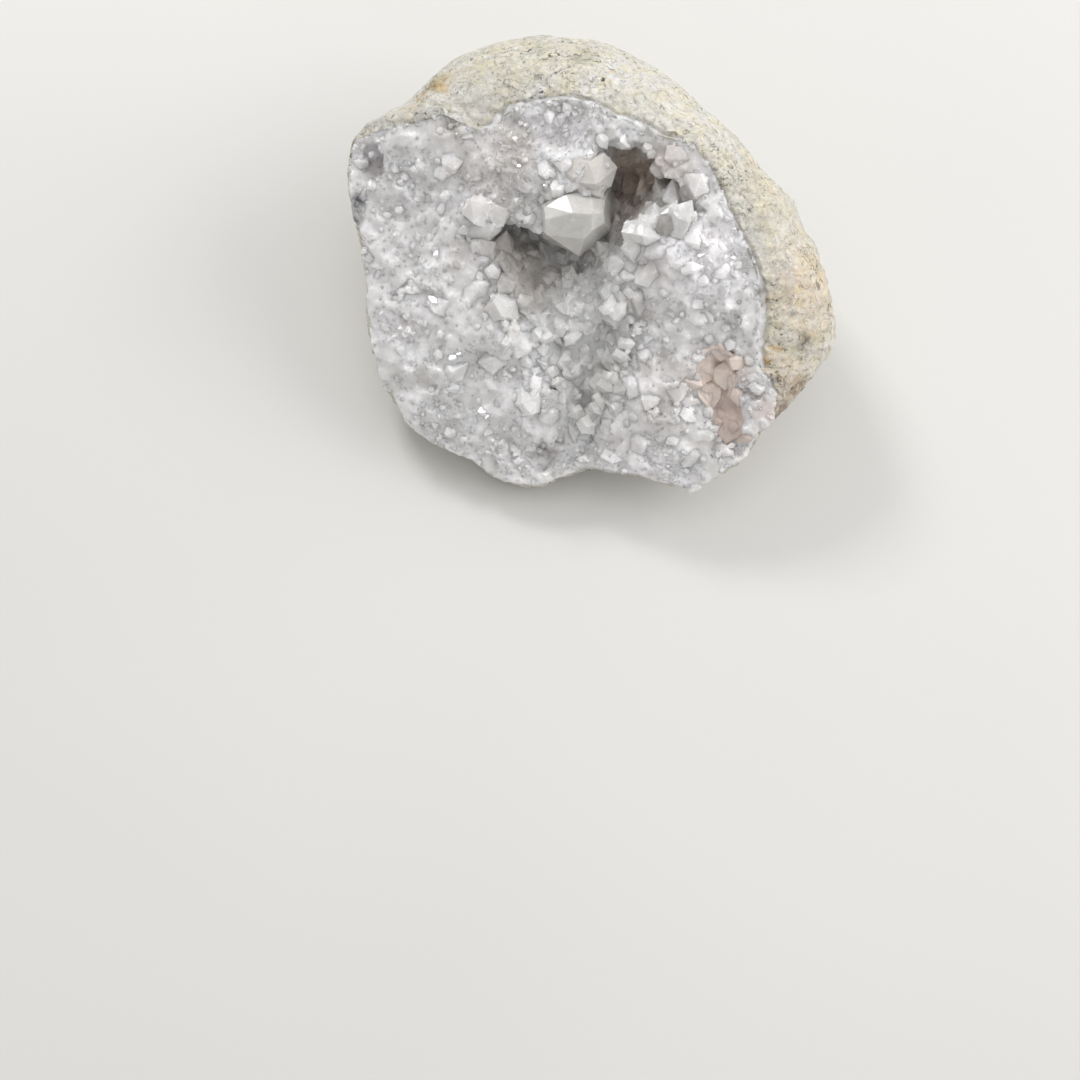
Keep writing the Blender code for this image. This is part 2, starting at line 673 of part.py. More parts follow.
def seat_ring(rind_ring):
    """The wall's ring beside the rind's inner edge, a gap inside it: just below the edge where the rind
    shows, just above it where the quartz hides it."""
    angles = np.linspace(-math.pi, math.pi, SECTORS, endpoint=False)
    ring = []
    for (u, v, w), hidden, gap in zip(rind_ring, cover_at(angles), edge_gap(angles)):
        length = math.hypot(u, v)
        nearer = (length - 1.2 * gap) / length
        ring.append(at_place(u * nearer, v * nearer, w + GAP * (2.2 * hidden - 1)))
    return np.array(ring)


def joined_rings(upper, lower, columns):
    faces = []
    for column in range(columns):
        after = (column + 1) % columns
        faces.append((upper + column, lower + column, lower + after))
        faces.append((upper + column, lower + after, upper + after))
    return faces


def hollow_cutters():
    """The hollow's body under the roof, and the open mouth in front of it."""
    random_source = random.Random(5)
    ring = spaced_ring(HOLLOW, EDGE_STEP_LENGTH)
    floor_fill = fill_points(HOLLOW, COARSE_FILL, 1.3 * MM, random_source)
    ceiling_fill = fill_points(HOLLOW, COARSE_FILL, 1.3 * MM, random_source)

    def roof_side(u, v):
        open_valley = min(1.0, max(0.0, -v / VALLEY_FADE))
        ceiling = max(ceiling_level(u, v), hollow_floor(u, v) + HIDDEN_EDGE_HEIGHT)
        return ceiling * (1 - open_valley) + (face_level(u, v) + 2 * MM) * open_valley

    floor_faces = triangulated(ring, floor_fill)
    body = patch_solid("hollow_cutter", levelled(ring, roof_side), levelled(ceiling_fill, roof_side),
                       levelled(ring, hollow_floor), levelled(floor_fill, hollow_floor), floor_faces, None)
    mouth_ring = spaced_ring(inset_ring(MOUTH, -0.15 * MM), EDGE_STEP_LENGTH)

    def mouth_floor(u, v):
        return hollow_floor(u, v) + MOUTH_FLOOR_LIFT

    def above(u, v):
        return face_level(u, v) + 20 * MM

    mouth_fill = fill_points(MOUTH, COARSE_FILL, 1.3 * MM, random_source)
    mouth = patch_solid("mouth_cutter", levelled(mouth_ring, above), [],
                        levelled(mouth_ring, mouth_floor), levelled(mouth_fill, mouth_floor),
                        triangulated(mouth_ring, mouth_fill), None)
    return body, mouth, (ring, floor_fill, floor_faces)


def crystal_crust(floor, material):
    random_source = random.Random(23)
    ring, floor_fill, floor_faces = floor
    bottom_ring = inset_ring(ring, CRUST_INSET)
    bottom = [(*point, hollow_floor(*outer) + CRUST_LIFT) for point, outer in zip(bottom_ring, ring)]
    rock = faceted_level(ring, floor_fill, floor_faces, hollow_floor)
    bottom_inner = [(u, v, rock(u, v) + CRUST_LIFT * along_sight(rock, u, v)) for u, v in floor_fill]

    def crust_level(u, v):
        return rock(u, v) + (CRUST_LIFT + CRUST_THICKNESS) * along_sight(rock, u, v)

    def under_the_roof(u, v, w):
        if edge_distance(MOUTH, u, v) > ROOF_REACH:
            return u, v, w
        lowest = rock(u, v) + 1.3 * CRUST_LIFT * along_sight(rock, u, v)
        return u, v, max(lowest, min(w, ceiling_level(u, v) - HEADROOM))

    top_ring = [(u, v, w + 0.5 * CRUST_THICKNESS) for u, v, w in bottom]
    sites = crystal_sites(bottom_ring, CRUST_CRYSTALS, [], random_source)
    fill = without_crowding(fill_points(bottom_ring, CRUST_FILL, 1.2 * MM, random_source), sites, 0.8 * MM)
    top_inner = levelled(fill, crust_level)
    top_inner += crystal_points(sites, crust_level, CRUST_CRYSTALS[3], random_source)
    top_inner = [under_the_roof(*point) for point in top_inner]
    return patch_solid("crystal_crust", top_ring, top_inner, bottom, bottom_inner, floor_faces, material)


def lumps_level(u, v, rock):
    floor = rock(u, v) + CRUST_LIFT + 0.6 * MM
    for lump_u, lump_v, radius in LUMPS:
        off = math.hypot(u - lump_u * MM, v - lump_v * MM)
        size = radius * MM
        if off < size:
            base = face_level(lump_u * MM, lump_v * MM) - LUMP_SINK * POCKET_DEPTH
            floor = max(floor, base + math.sqrt(size * size - off * off))
    return floor


def pocket_cutter():
    random_source = random.Random(31)
    ring = spaced_ring(POCKET, EDGE_STEP_LENGTH)
    fill = fill_points(POCKET, 3 * MM, 1.0 * MM, random_source)

    def above(u, v):
        return face_level(u, v) + 15 * MM

    floor_faces = triangulated(ring, fill)
    cutter = patch_solid("pocket_cutter", levelled(ring, above), [],
                         levelled(ring, pocket_floor), levelled(fill, pocket_floor), floor_faces, None)
    return cutter, (ring, fill, floor_faces)


def chalcedony_lumps(floor, material):
    random_source = random.Random(37)
    ring, floor_fill, floor_faces = floor
    bottom_ring = inset_ring(ring, CRUST_INSET)
    bottom = [(*point, pocket_floor(*outer) + CRUST_LIFT) for point, outer in zip(bottom_ring, ring)]
    bottom_inner = [(u, v, pocket_floor(u, v) + CRUST_LIFT) for u, v in floor_fill]
    top_ring = [(u, v, w + 0.5 * MM) for u, v, w in bottom]
    fill = fill_points(bottom_ring, LUMP_FILL, 0.7 * MM, random_source, 0.1)
    rock = faceted_level(ring, floor_fill, floor_faces, pocket_floor)
    lumps = [(u, v, lumps_level(u, v, rock)) for u, v in fill]
    return patch_solid("chalcedony_lumps", top_ring, lumps, bottom, bottom_inner, floor_faces, material)


def crystal_solid(name, growth, material):
    """The large six-sided crystal, made bigger all round by growth for its socket."""
    corners = in_metres(CRYSTAL_CORNERS)
    centre = corners.mean(axis=0)
    radius = np.hypot(*(corners - centre).T).mean()
    scale = 1 + growth / radius
    shoulder = centre + (corners - centre) * scale
    root = centre + CRYSTAL_ROOT_SHIFT + (corners - centre) * CRYSTAL_ROOT_SCALE * scale
    vertices = [at_place(*CRYSTAL_APEX[:2], CRYSTAL_APEX[2] + growth)]
    vertices += [at_place(*corner, CRYSTAL_SHOULDER_LEVEL) for corner in shoulder]
    vertices += [at_place(*corner, CRYSTAL_ROOT_LEVEL - growth) for corner in root]
    faces = [(0, 1 + (k + 1) % 6, 1 + k) for k in range(6)]
    faces += [(1 + k, 1 + (k + 1) % 6, 7 + (k + 1) % 6, 7 + k) for k in range(6)]
    faces.append(tuple(range(7, 13)))
    return make_object(name, vertices, faces, material)


def resting_shift(objects):
    """The move that puts the flat spot at z = 0 and the middle of the box over the origin."""
    corners = np.array([vertex.co for made in objects for vertex in made.data.vertices])
    low = corners.min(axis=0)
    high = corners.max(axis=0)
    return Vector((-(low[0] + high[0]) / 2, -(low[1] + high[1]) / 2, -REST_LEVEL))


def main():
    clear_scene()
    cream = principled("cream_rind", (0.72, 0.66, 0.50), 0.85)
    milky = principled("milky_quartz", (0.78, 0.77, 0.77), 0.35)
    clear = principled("clear_quartz", (0.72, 0.72, 0.72), 0.15)
    calcite = principled("calcite", (0.80, 0.78, 0.74), 0.2)
    peach = principled("peach_chalcedony", (0.80, 0.66, 0.56), 0.35)

    grid = outer_grid()
    quartz_ring, overlap_ring, rind_ring = rim_points()
    rind_rim = np.array([at_place(*point) for point in rind_ring])
    outer_crust = rind(grid, rind_rim, cream)
    wall = quartz_wall(grid, quartz_ring, overlap_ring, rind_ring, milky)
    body, mouth, hollow = hollow_cutters()
    pocket, basin = pocket_cutter()
    crystal = crystal_solid("calcite_crystal", 0, calcite)
    socket = crystal_solid("socket_cutter", 1.2 * GAP, None)
    crust = crystal_crust(hollow, clear)
    lumps = chalcedony_lumps(basin, peach)
    for cutter in (body, mouth, pocket, socket):
        cut_with(wall, cutter)
    shift = resting_shift([outer_crust, wall])
    for made in (outer_crust, wall, body, mouth, pocket, socket, crystal, crust, lumps):
        made.location = shift


main()
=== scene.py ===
import math

import bmesh
import bpy
import numpy as np
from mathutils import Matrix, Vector, noise
from mathutils.bvhtree import BVHTree
from mathutils.kdtree import KDTree


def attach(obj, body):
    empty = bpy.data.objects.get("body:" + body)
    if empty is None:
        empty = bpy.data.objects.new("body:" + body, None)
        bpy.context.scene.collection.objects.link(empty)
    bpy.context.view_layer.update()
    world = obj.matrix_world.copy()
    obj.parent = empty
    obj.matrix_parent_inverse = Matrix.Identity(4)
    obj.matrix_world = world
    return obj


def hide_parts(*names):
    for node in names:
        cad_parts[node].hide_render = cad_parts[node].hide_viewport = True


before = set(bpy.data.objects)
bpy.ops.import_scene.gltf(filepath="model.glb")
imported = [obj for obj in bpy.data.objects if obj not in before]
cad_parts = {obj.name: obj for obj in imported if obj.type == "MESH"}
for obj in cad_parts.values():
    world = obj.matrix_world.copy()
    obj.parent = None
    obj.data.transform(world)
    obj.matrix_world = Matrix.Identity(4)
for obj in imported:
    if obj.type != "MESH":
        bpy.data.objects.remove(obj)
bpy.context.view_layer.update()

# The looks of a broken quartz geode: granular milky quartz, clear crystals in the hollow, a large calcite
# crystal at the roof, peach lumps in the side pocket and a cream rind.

MM = 0.001

# The sight lines: the picture plane's middle, its directions and the eye
ELEVATION = math.radians(75)
EYE_DISTANCE = 378 * MM
FOOT = np.array([-10.8, -55.4]) * MM
ORIGIN = np.array([0.356, -6.622, 38.0]) * MM
RIGHT = np.array([1.0, 0.0, 0.0])
UP = np.array([0.0, math.sin(ELEVATION), math.cos(ELEVATION)])
TOWARDS = np.array([0.0, -math.cos(ELEVATION), math.sin(ELEVATION)])
EYE = ORIGIN + FOOT[0] * RIGHT + FOOT[1] * UP + EYE_DISTANCE * TOWARDS

# Voxel sizes of the remade surfaces, and the most triangles that a piece keeps
BASE_VOXEL = 0.5 * MM
WALL_VOXEL = 0.42 * MM
CRUST_VOXEL = 0.36 * MM
LINING_VOXEL = 0.35 * MM
MOST_TRIANGLES = 195000

# A crystal's mesh: six foot corners, six shoulder corners and a tip, with as many faces as corners
SIDES = 6
TIP = 12
CRYSTAL_CORNERS = 13

# Optics of quartz, and how far red, green and blue light scatter in it
QUARTZ_IOR = 1.54
SCATTER = (1.0, 0.95, 0.9)

# How far the main light stands from the crystal's top facet, in metres
KEY_DISTANCE = 0.62

# Places nearer to the rind than this lie against it, and how near to it the back of the quartz is
TOUCHING = 1.2 * MM
BACK_REACH = 1.3 * MM

# What the lights face, in metres, and the camera's lens and sensor, in millimetres
PART_MIDDLE = (0, 0, 0.03)
LENS = 63
SENSOR = 36

NEIGHBOURS = [(i, j, k) for i in (-1, 0, 1) for j in (-1, 0, 1) for k in (-1, 0, 1)]


# Meshes as arrays

def arrays_of(mesh):
    points = np.empty(len(mesh.vertices) * 3)
    mesh.vertices.foreach_get("co", points)
    mesh.calc_loop_triangles()
    corners = np.empty(len(mesh.loop_triangles) * 3, dtype=np.int64)
    mesh.loop_triangles.foreach_get("vertices", corners)
    return points.reshape(-1, 3), corners.reshape(-1, 3)


def normals_of(mesh):
    normals = np.empty(len(mesh.vertices) * 3)
    mesh.vertices.foreach_get("normal", normals)
    return normals.reshape(-1, 3)


def made_object(name, points, faces):
    mesh = bpy.data.meshes.new(name)
    mesh.from_pydata(points.tolist(), [], faces)
    mesh.update()
    made = bpy.data.objects.new(name, mesh)
    bpy.context.collection.objects.link(made)
    return made


def bvh_of(*names):
    points = []
    faces = []
    for name in names:
        more, triangles = arrays_of(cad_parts[name].data)
        faces.append(triangles + sum(len(part) for part in points))
        points.append(more)
    return BVHTree.FromPolygons(np.vstack(points).tolist(), np.vstack(faces).tolist())


def unit(vectors):
    return vectors / np.maximum(np.linalg.norm(vectors, axis=-1, keepdims=True), 1e-12)


def on_plane(points):
    """Where points are seen on the picture plane, in millimetres to the right and up."""
    offset = points - EYE
    scale = EYE_DISTANCE / -(offset @ TOWARDS)
    return np.column_stack([FOOT[0] + (offset @ RIGHT) * scale, FOOT[1] + (offset @ UP) * scale]) / MM


def at_plane(u, v, w):
    """The place on the sight line through (u, v) at a height w above the picture plane, in millimetres."""
    target = ORIGIN + u * MM * RIGHT + v * MM * UP
    return EYE + (target - EYE) * (1 - w * MM / EYE_DISTANCE)


def seen_at(tree, u, v):
    """The first surface point on the sight line through a place on the picture plane, with its normal, or
    the surface point nearest to that place."""
    target = at_plane(u, v, 0.0)
    hit, normal, _, _ = tree.ray_cast(Vector(EYE), Vector(target - EYE).normalized())
    if hit is None:
        hit, normal, _, _ = tree.find_nearest(Vector(target))
    return np.array(hit), np.array(normal)


NODES = ("rind", "quartz_wall", "crystal_crust", "calcite_crystal", "chalcedony_lumps")
SIGHT_TREE = bvh_of(*NODES)
RIND_TREE = bvh_of("rind")
WALL_TREE = bvh_of("quartz_wall")
RIND_FACES = len(arrays_of(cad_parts["rind"].data)[1])


def off_face(point):
    """True where a point's sight line meets the rind first, or nothing."""
    _, _, index, _ = SIGHT_TREE.ray_cast(Vector(EYE), Vector(point - EYE).normalized())
    return index is None or index < RIND_FACES


def drawn_to(tree, points, reach, overlap):
    """Points close to another surface, moved onto it and a little past it."""
    moved = points.copy()
    for index, point in enumerate(points):
        near, _, _, off = tree.find_nearest(Vector(point), reach)
        if near is not None and off > 0:
            moved[index] += (np.array(near) - point) * (1 + overlap / off)
    return moved


def region(places, spots):
    """How much places on the picture plane belong to soft round spots (u, v, radius)."""
    total = np.zeros(len(places))
    for u, v, radius in spots:
        off = np.hypot(places[:, 0] - u, places[:, 1] - v) / radius
        total = np.maximum(total, np.exp(-off ** 2 * 1.2))
    return total


# Refined surfaces

def take_evaluated(made):
    """Turns what the modifiers make into the object's own mesh."""
    graph = bpy.context.evaluated_depsgraph_get()
    mesh = bpy.data.meshes.new_from_object(made.evaluated_get(graph))
    made.modifiers.clear()
    made.data = mesh
    mesh.materials.clear()


def node_copy(node, name):
    """A separate object with a copy of a solid's mesh."""
    made = bpy.data.objects.new(name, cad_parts[node].data.copy())
    bpy.context.collection.objects.link(made)
    return made


def remade(made, size):
    """The object with its mesh turned into one closed surface of evenly small faces."""
    remesh = made.modifiers.new("remesh", "REMESH")
    remesh.mode = "VOXEL"
    remesh.voxel_size = size
    take_evaluated(made)
    return made


def subdivided(made, levels):
    """The object with each of its faces cut into smaller ones, its shape unchanged."""
    weld = made.modifiers.new("weld", "WELD")
    weld.merge_threshold = 0.001 * MM
    divide = made.modifiers.new("divide", "SUBSURF")
    divide.subdivision_type = "SIMPLE"
    divide.levels = levels
    take_evaluated(made)
    return made


def joined(name, parts):
    """One object of several meshes, given as (points, faces)."""
    points = []
    faces = []
    start = 0
    for more, more_faces in parts:
        points.append(more)
        faces += [tuple(start + corner for corner in face) for face in more_faces]
        start += len(more)
    return made_object(name, np.vstack(points), faces)


def swollen(node, distance):
    """A solid's surface moved outwards, so that it meets what lies beside it."""
    made = remade(node_copy(node, node + "_swollen"), 0.4 * MM)
    points, triangles = arrays_of(made.data)
    points = points + normals_of(made.data) * distance
    bpy.data.objects.remove(made)
    return points, triangles.tolist()


def thin_hidden(made, hidden):
    """Fewer, larger triangles where the surface is hidden, down to the most that a piece keeps."""
    _, triangles = arrays_of(made.data)
    group = made.vertex_groups.new(name="hidden")
    group.add(np.flatnonzero(hidden).tolist(), 1.0, "REPLACE")
    thin = made.modifiers.new("thin", "DECIMATE")
    thin.ratio = min(1.0, MOST_TRIANGLES / len(triangles))
    thin.vertex_group = "hidden"
    take_evaluated(made)


def covered_by(tree, points):
    """True where a surface lies over a point, towards the eye."""
    starts = points + 0.3 * MM * TOWARDS
    return np.array([tree.ray_cast(Vector(start), Vector(TOWARDS))[0] is not None for start in starts])


def distance_to(tree, places):
    """How far places are from a surface, up to 5 mm."""
    reach = 5 * MM
    found = [tree.find_nearest(Vector(place), reach)[3] for place in places]
    return np.array([reach if off is None else off for off in found])


def nearest_cells(points, cell, seed):
    """For each point the middle of its cell in a shaken lattice, and the cell's own number."""
    source = np.random.default_rng(seed)
    low = points.min(axis=0) - cell
    count = np.ceil((points.max(axis=0) + cell - low) / cell).astype(int)
    grid = np.stack(np.meshgrid(*[np.arange(n) for n in count], indexing="ij"), axis=-1).reshape(-1, 3)
    seeds = low + (grid + source.uniform(-0.45, 0.45, grid.shape)) * cell
    occupied = set(map(tuple, np.floor((points - low) / cell + 0.5).astype(int).tolist()))
    near = np.zeros(len(grid), dtype=bool)
    index = {tuple(key): k for k, key in enumerate(grid.tolist())}
    for key in occupied:
        for shift in NEIGHBOURS:
            k = index.get((key[0] + shift[0], key[1] + shift[1], key[2] + shift[2]))
            if k is not None:
                near[k] = True
    kept = np.flatnonzero(near)
    tree = KDTree(len(kept))
    for k, place in enumerate(seeds[kept]):
        tree.insert(place, k)
    tree.balance()
    which = np.array([tree.find(point)[1] for point in points])
    return seeds[kept][which], which


def chunked(points, normals, cell, tilt, step, seed):
    """Heights along the normals that break a surface into flat facets, one for each cell."""
    middles, which = nearest_cells(points, cell, seed)
    source = np.random.default_rng(seed + 1)
    count = which.max() + 1
    leans = source.normal(0, 1, (count, 3))
    lifts = source.uniform(-1, 1, count)
    lean = leans[which]
    lean -= normals * (lean * normals).sum(axis=1)[:, None]
    return ((points - middles) * lean).sum(axis=1) * tilt + lifts[which] * step


def noise_values(points, scale, seed):
    shift = Vector((seed, 2 * seed, -seed))
    return np.array([noise.noise(Vector(point) / scale + shift) for point in points])


def hidden_by(tree, points, normals, distance):
    """True where another surface lies close outside this one."""
    hidden = np.zeros(len(points), dtype=bool)
    for index, (point, normal) in enumerate(zip(points, normals)):
        near, _, _, off = tree.find_nearest(Vector(point), distance)
        if near is not None:
            hidden[index] = (np.array(near) - point) @ normal > 0.4 * off
    return hidden


# Crystals

def scattered(points, triangles, count, source):
    corners = points[triangles]
    across = np.cross(corners[:, 1] - corners[:, 0], corners[:, 2] - corners[:, 0])
    area = np.linalg.norm(across, axis=1)
    pick = source.choice(len(triangles), count, p=area / area.sum())
    share = source.random((count, 2))
    share = np.where(share.sum(axis=1)[:, None] > 1, 1 - share, share)
    a, b, c = corners[pick, 0], corners[pick, 1], corners[pick, 2]
    places = a + share[:, :1] * (b - a) + share[:, 1:] * (c - a)
    return places, unit(across)[pick]


def thinned(places, radii, crowding):
    """Indices of places that stay clear of each other by a share of their radii."""
    cell = radii.max() * 2
    taken = {}
    kept = []
    for index, (place, radius) in enumerate(zip(places, radii)):
        key = tuple(np.floor(place / cell).astype(int))
        clear = True
        for shift in NEIGHBOURS:
            for other in taken.get((key[0] + shift[0], key[1] + shift[1], key[2] + shift[2]), ()):
                reach = crowding * (radius + radii[other])
                if ((place - places[other]) ** 2).sum() < reach * reach:
                    clear = False
                    break
            if not clear:
                break
        if clear:
            taken.setdefault(key, []).append(index)
            kept.append(index)
    return np.array(kept)


def crystal_mesh(bases, axes, radii, lengths, tips, sinks, source, skew=0.35):
    """Six-sided columns with six-faced points, one mesh for all of them."""
    count = len(bases)
    side = unit(np.cross(axes, source.normal(0, 1, (count, 3))))
    other = np.cross(axes, side)
    turns = np.arange(SIDES) * 2 * math.pi / SIDES
    cosines = np.cos(turns)[None, :, None]
    sines = np.sin(turns)[None, :, None]
    stretch = 1 + source.uniform(-0.22, 0.22, (count, SIDES))
    around = cosines * side[:, None, :] + sines * other[:, None, :]
    around = around * (radii[:, None] * stretch)[:, :, None]
    foot = (bases - axes * sinks[:, None])[:, None, :] + around * 0.92
    shoulder_height = lengths[:, None] * (1 + source.uniform(-0.35, 0.35, (count, SIDES)))
    shoulder = bases[:, None, :] + around + axes[:, None, :] * shoulder_height[:, :, None]
    lateral = source.uniform(-skew, skew, (count, 2)) * radii[:, None]
    tip = bases + axes * (lengths + tips)[:, None] + side * lateral[:, :1] + other * lateral[:, 1:]
    points = np.concatenate([foot, shoulder, tip[:, None, :]], axis=1).reshape(-1, 3)
    pattern = [(k, (k + 1) % SIDES, SIDES + (k + 1) % SIDES, SIDES + k) for k in range(SIDES)]
    pattern += [(SIDES + k, SIDES + (k + 1) % SIDES, TIP) for k in range(SIDES)]
    pattern.append(tuple(reversed(range(SIDES))))
    faces = []
    for index in range(count):
        start = index * CRYSTAL_CORNERS
        faces += [tuple(start + corner for corner in face) for face in pattern]
    return points, faces


def kept_on_face(points, faces):
    """Crystals without those that would cover the rind or stand out past the face."""
    bodies = points.reshape(-1, CRYSTAL_CORNERS, 3)
    kept = np.array([not any(off_face(point) for point in body[SIDES:]) for body in bodies])
    return bodies[kept].reshape(-1, 3), faces[:CRYSTAL_CORNERS * int(kept.sum())]


def leaning(normals, most, source):
    """Axes that lean away from the normals by up to about most (a tangent)."""
    return unit(normals + source.normal(0, most / 2, normals.shape))


# Materials

def new_material(name):
    material = bpy.data.materials.new(name)
    material.use_nodes = True
    return material, material.node_tree, material.node_tree.nodes["Principled BSDF"]


def placed(tree):
    return tree.nodes.new("ShaderNodeTexCoord").outputs["Object"]


def noise_node(tree, vector, size, detail=4.0, roughness=0.55, distortion=0.0):
    """Noise whose features are about size metres wide."""
    made = tree.nodes.new("ShaderNodeTexNoise")
    made.inputs["Scale"].default_value = 1 / size
    made.inputs["Detail"].default_value = detail
    made.inputs["Roughness"].default_value = roughness
    made.inputs["Distortion"].default_value = distortion
    tree.links.new(vector, made.inputs["Vector"])
    return made.outputs["Fac"]


def ramp(tree, value, *stops):
    made = tree.nodes.new("ShaderNodeValToRGB")
    elements = made.color_ramp.elements
    while len(elements) < len(stops):
        elements.new(0.5)
    for element, (position, colour) in zip(elements, stops):
        element.position = position
        element.color = (*colour, 1) if isinstance(colour, tuple) else (colour, colour, colour, 1)
    tree.links.new(value, made.inputs["Fac"])
    return made.outputs["Color"]


def mixed(tree, share, first, second, mode="MIX"):
    made = tree.nodes.new("ShaderNodeMix")
    made.data_type = "RGBA"
    made.blend_type = mode
    for socket, value in ((made.inputs[0], share), (made.inputs[6], first), (made.inputs[7], second)):
        if isinstance(value, bpy.types.NodeSocket):
            tree.links.new(value, socket)
        elif isinstance(value, tuple):
            socket.default_value = (*value, 1)
        else:
            socket.default_value = value
    return made.outputs[2]


def spot(tree, vector, centre, radius, softness):
    """1 within a distance of a place, fading to 0."""
    distance = tree.nodes.new("ShaderNodeVectorMath")
    distance.operation = "DISTANCE"
    distance.inputs[1].default_value = centre
    tree.links.new(vector, distance.inputs[0])
    fade = tree.nodes.new("ShaderNodeMapRange")
    fade.interpolation_type = "SMOOTHSTEP"
    fade.inputs["From Min"].default_value = radius
    fade.inputs["From Max"].default_value = radius * (1 - softness)
    tree.links.new(distance.outputs["Value"], fade.inputs["Value"])
    return fade.outputs["Result"]


def bump(tree, shader, height, distance):
    made = tree.nodes.new("ShaderNodeBump")
    made.inputs["Distance"].default_value = distance
    tree.links.new(height, made.inputs["Height"])
    tree.links.new(made.outputs["Normal"], shader.inputs["Normal"])


def cells_node(tree, vector, size):
    """A random colour for each cell of about size metres."""
    made = tree.nodes.new("ShaderNodeTexVoronoi")
    made.inputs["Scale"].default_value = 1 / size
    tree.links.new(vector, made.inputs["Vector"])
    return made.outputs["Color"]


def vector_node(tree, operation, first, second=None, scale=None):
    made = tree.nodes.new("ShaderNodeVectorMath")
    made.operation = operation
    for socket, value in zip(made.inputs, (first, second)):
        if isinstance(value, bpy.types.NodeSocket):
            tree.links.new(value, socket)
        elif value is not None:
            socket.default_value = value
    if scale is not None:
        made.inputs["Scale"].default_value = scale
    return made.outputs["Vector"]


def shaken_place(tree, vector, size, reach):
    """The place moved a little to and fro, so that edges in a pattern run unevenly."""
    made = tree.nodes.new("ShaderNodeTexNoise")
    made.inputs["Scale"].default_value = 1 / size
    made.inputs["Detail"].default_value = 2
    tree.links.new(vector, made.inputs["Vector"])
    centred = vector_node(tree, "SUBTRACT", made.outputs["Color"], (0.5, 0.5, 0.5))
    return vector_node(tree, "ADD", vector, vector_node(tree, "SCALE", centred, scale=reach))


def stretched(tree, vector, shares):
    """The place scaled along each axis, which draws a pattern out."""
    made = tree.nodes.new("ShaderNodeMapping")
    made.inputs["Scale"].default_value = shares
    tree.links.new(vector, made.inputs["Vector"])
    return made.outputs["Vector"]


def times(tree, value, factor):
    made = tree.nodes.new("ShaderNodeMath")
    made.operation = "MULTIPLY"
    made.inputs[1].default_value = factor
    tree.links.new(value, made.inputs[0])
    return made.outputs[0]


def seen_spots(tree, spots):
    """Turns spots given on the picture plane, (u, v, radius, tint, share), into spots on a surface."""
    return [(seen_at(tree, u, v)[0], radius * MM, tint, share) for u, v, radius, tint, share in spots]


def faceted_normal(tree, shader, where, tilts, grain, sugar=None):
    """Leans the normal by a random amount in each cell, as small flat faces do, and roughens it."""
    normal = tree.nodes.new("ShaderNodeBump")
    normal.inputs["Strength"].default_value = 0.7
    normal.inputs["Distance"].default_value = grain
    height = noise_node(tree, where, 0.5 * MM, 3, 0.6)
    if sugar is not None:
        height = mixed(tree, 1.0, height, sugar, "MULTIPLY")
    tree.links.new(height, normal.inputs["Height"])
    result = normal.outputs["Normal"]
    for size, tilt in tilts:
        centred = vector_node(tree, "SUBTRACT", cells_node(tree, where, size), (0.5, 0.5, 0.5))
        result = vector_node(tree, "ADD", result, vector_node(tree, "SCALE", centred, scale=tilt))
    tree.links.new(vector_node(tree, "NORMALIZE", result), shader.inputs["Normal"])


def tinted(tree, colour, where, spots, softness, breaks=None):
    """A colour multiplied by soft round spots of tint, painted shade and light: (place, radius, tint,
    share).
    """
    for centre, radius, tint, share in spots:
        mask = spot(tree, where, tuple(centre), radius, softness)
        if breaks is not None:
            mask = mixed(tree, 1.0, mask, breaks, "MULTIPLY")
        coloured = mixed(tree, 1.0, colour, tint, "MULTIPLY")
        colour = mixed(tree, times(tree, mask, share), colour, coloured)
    return colour


def ragged_mask(tree, where, evenness):
    """A torn-up mask, evened out by a share from 0 to 1."""
    torn = ramp(tree, noise_node(tree, where, 2.2 * MM, 6, 0.8), (0.42, 0.0), (0.56, 1.0))
    return mixed(tree, evenness, torn, (1.0, 1.0, 1.0))


def make_quartz(shader, subsurface, depth):
    """Quartz optics: refraction, and light scattered under the surface to a depth in metres."""
    shader.inputs["IOR"].default_value = QUARTZ_IOR
    shader.subsurface_method = "BURLEY"
    shader.inputs["Subsurface Weight"].default_value = subsurface
    shader.inputs["Subsurface Radius"].default_value = SCATTER
    shader.inputs["Subsurface Scale"].default_value = depth


def milky_material():
    """Frosted quartz: white sugar between greyer, clearer windows."""
    material, tree, shader = new_material("milky_quartz_grains")
    where = placed(tree)
    shaken = shaken_place(tree, where, 4 * MM, 3 * MM)
    patches = noise_node(tree, shaken, 4.5 * MM, 4, 0.55)
    windows = ramp(tree, patches, (0.45, 1.0), (0.55, 0.0))
    sugar = ramp(tree, patches, (0.45, 0.12), (0.56, 1.0))
    fine = ramp(tree, noise_node(tree, where, 0.7 * MM, 5, 0.7, 0.5), (0.38, 0.87), (0.56, 1.0))
    white = mixed(tree, 1.0, (0.82, 0.812, 0.817), fine, "MULTIPLY")
    chunks = ramp(tree, cells_node(tree, shaken, 2.6 * MM), (0.0, 0.90), (1.0, 1.0))
    clear = mixed(tree, 1.0, (0.73, 0.716, 0.707), chunks, "MULTIPLY")
    colour = mixed(tree, windows, white, clear)
    # Spots of colour, painted shade in creases, pits and hollow edges, and painted light on the hump
    tints = seen_spots(WALL_TREE, WALL_COLOUR_PAINTED_SHADE_AND_LIGHT)
    colour = tinted(tree, colour, shaken, tints, 0.8, ragged_mask(tree, where, 0.6))
    tree.links.new(colour, shader.inputs["Base Color"])
    tree.links.new(ramp(tree, windows, (0.0, 0.32), (1.0, 0.18)), shader.inputs["Roughness"])
    make_quartz(shader, 0.85, 2.4 * MM)
    faceted_normal(tree, shader, shaken, ((3.0 * MM, 0.13), (0.95 * MM, 0.10)), 0.09 * MM, sugar)
    return material


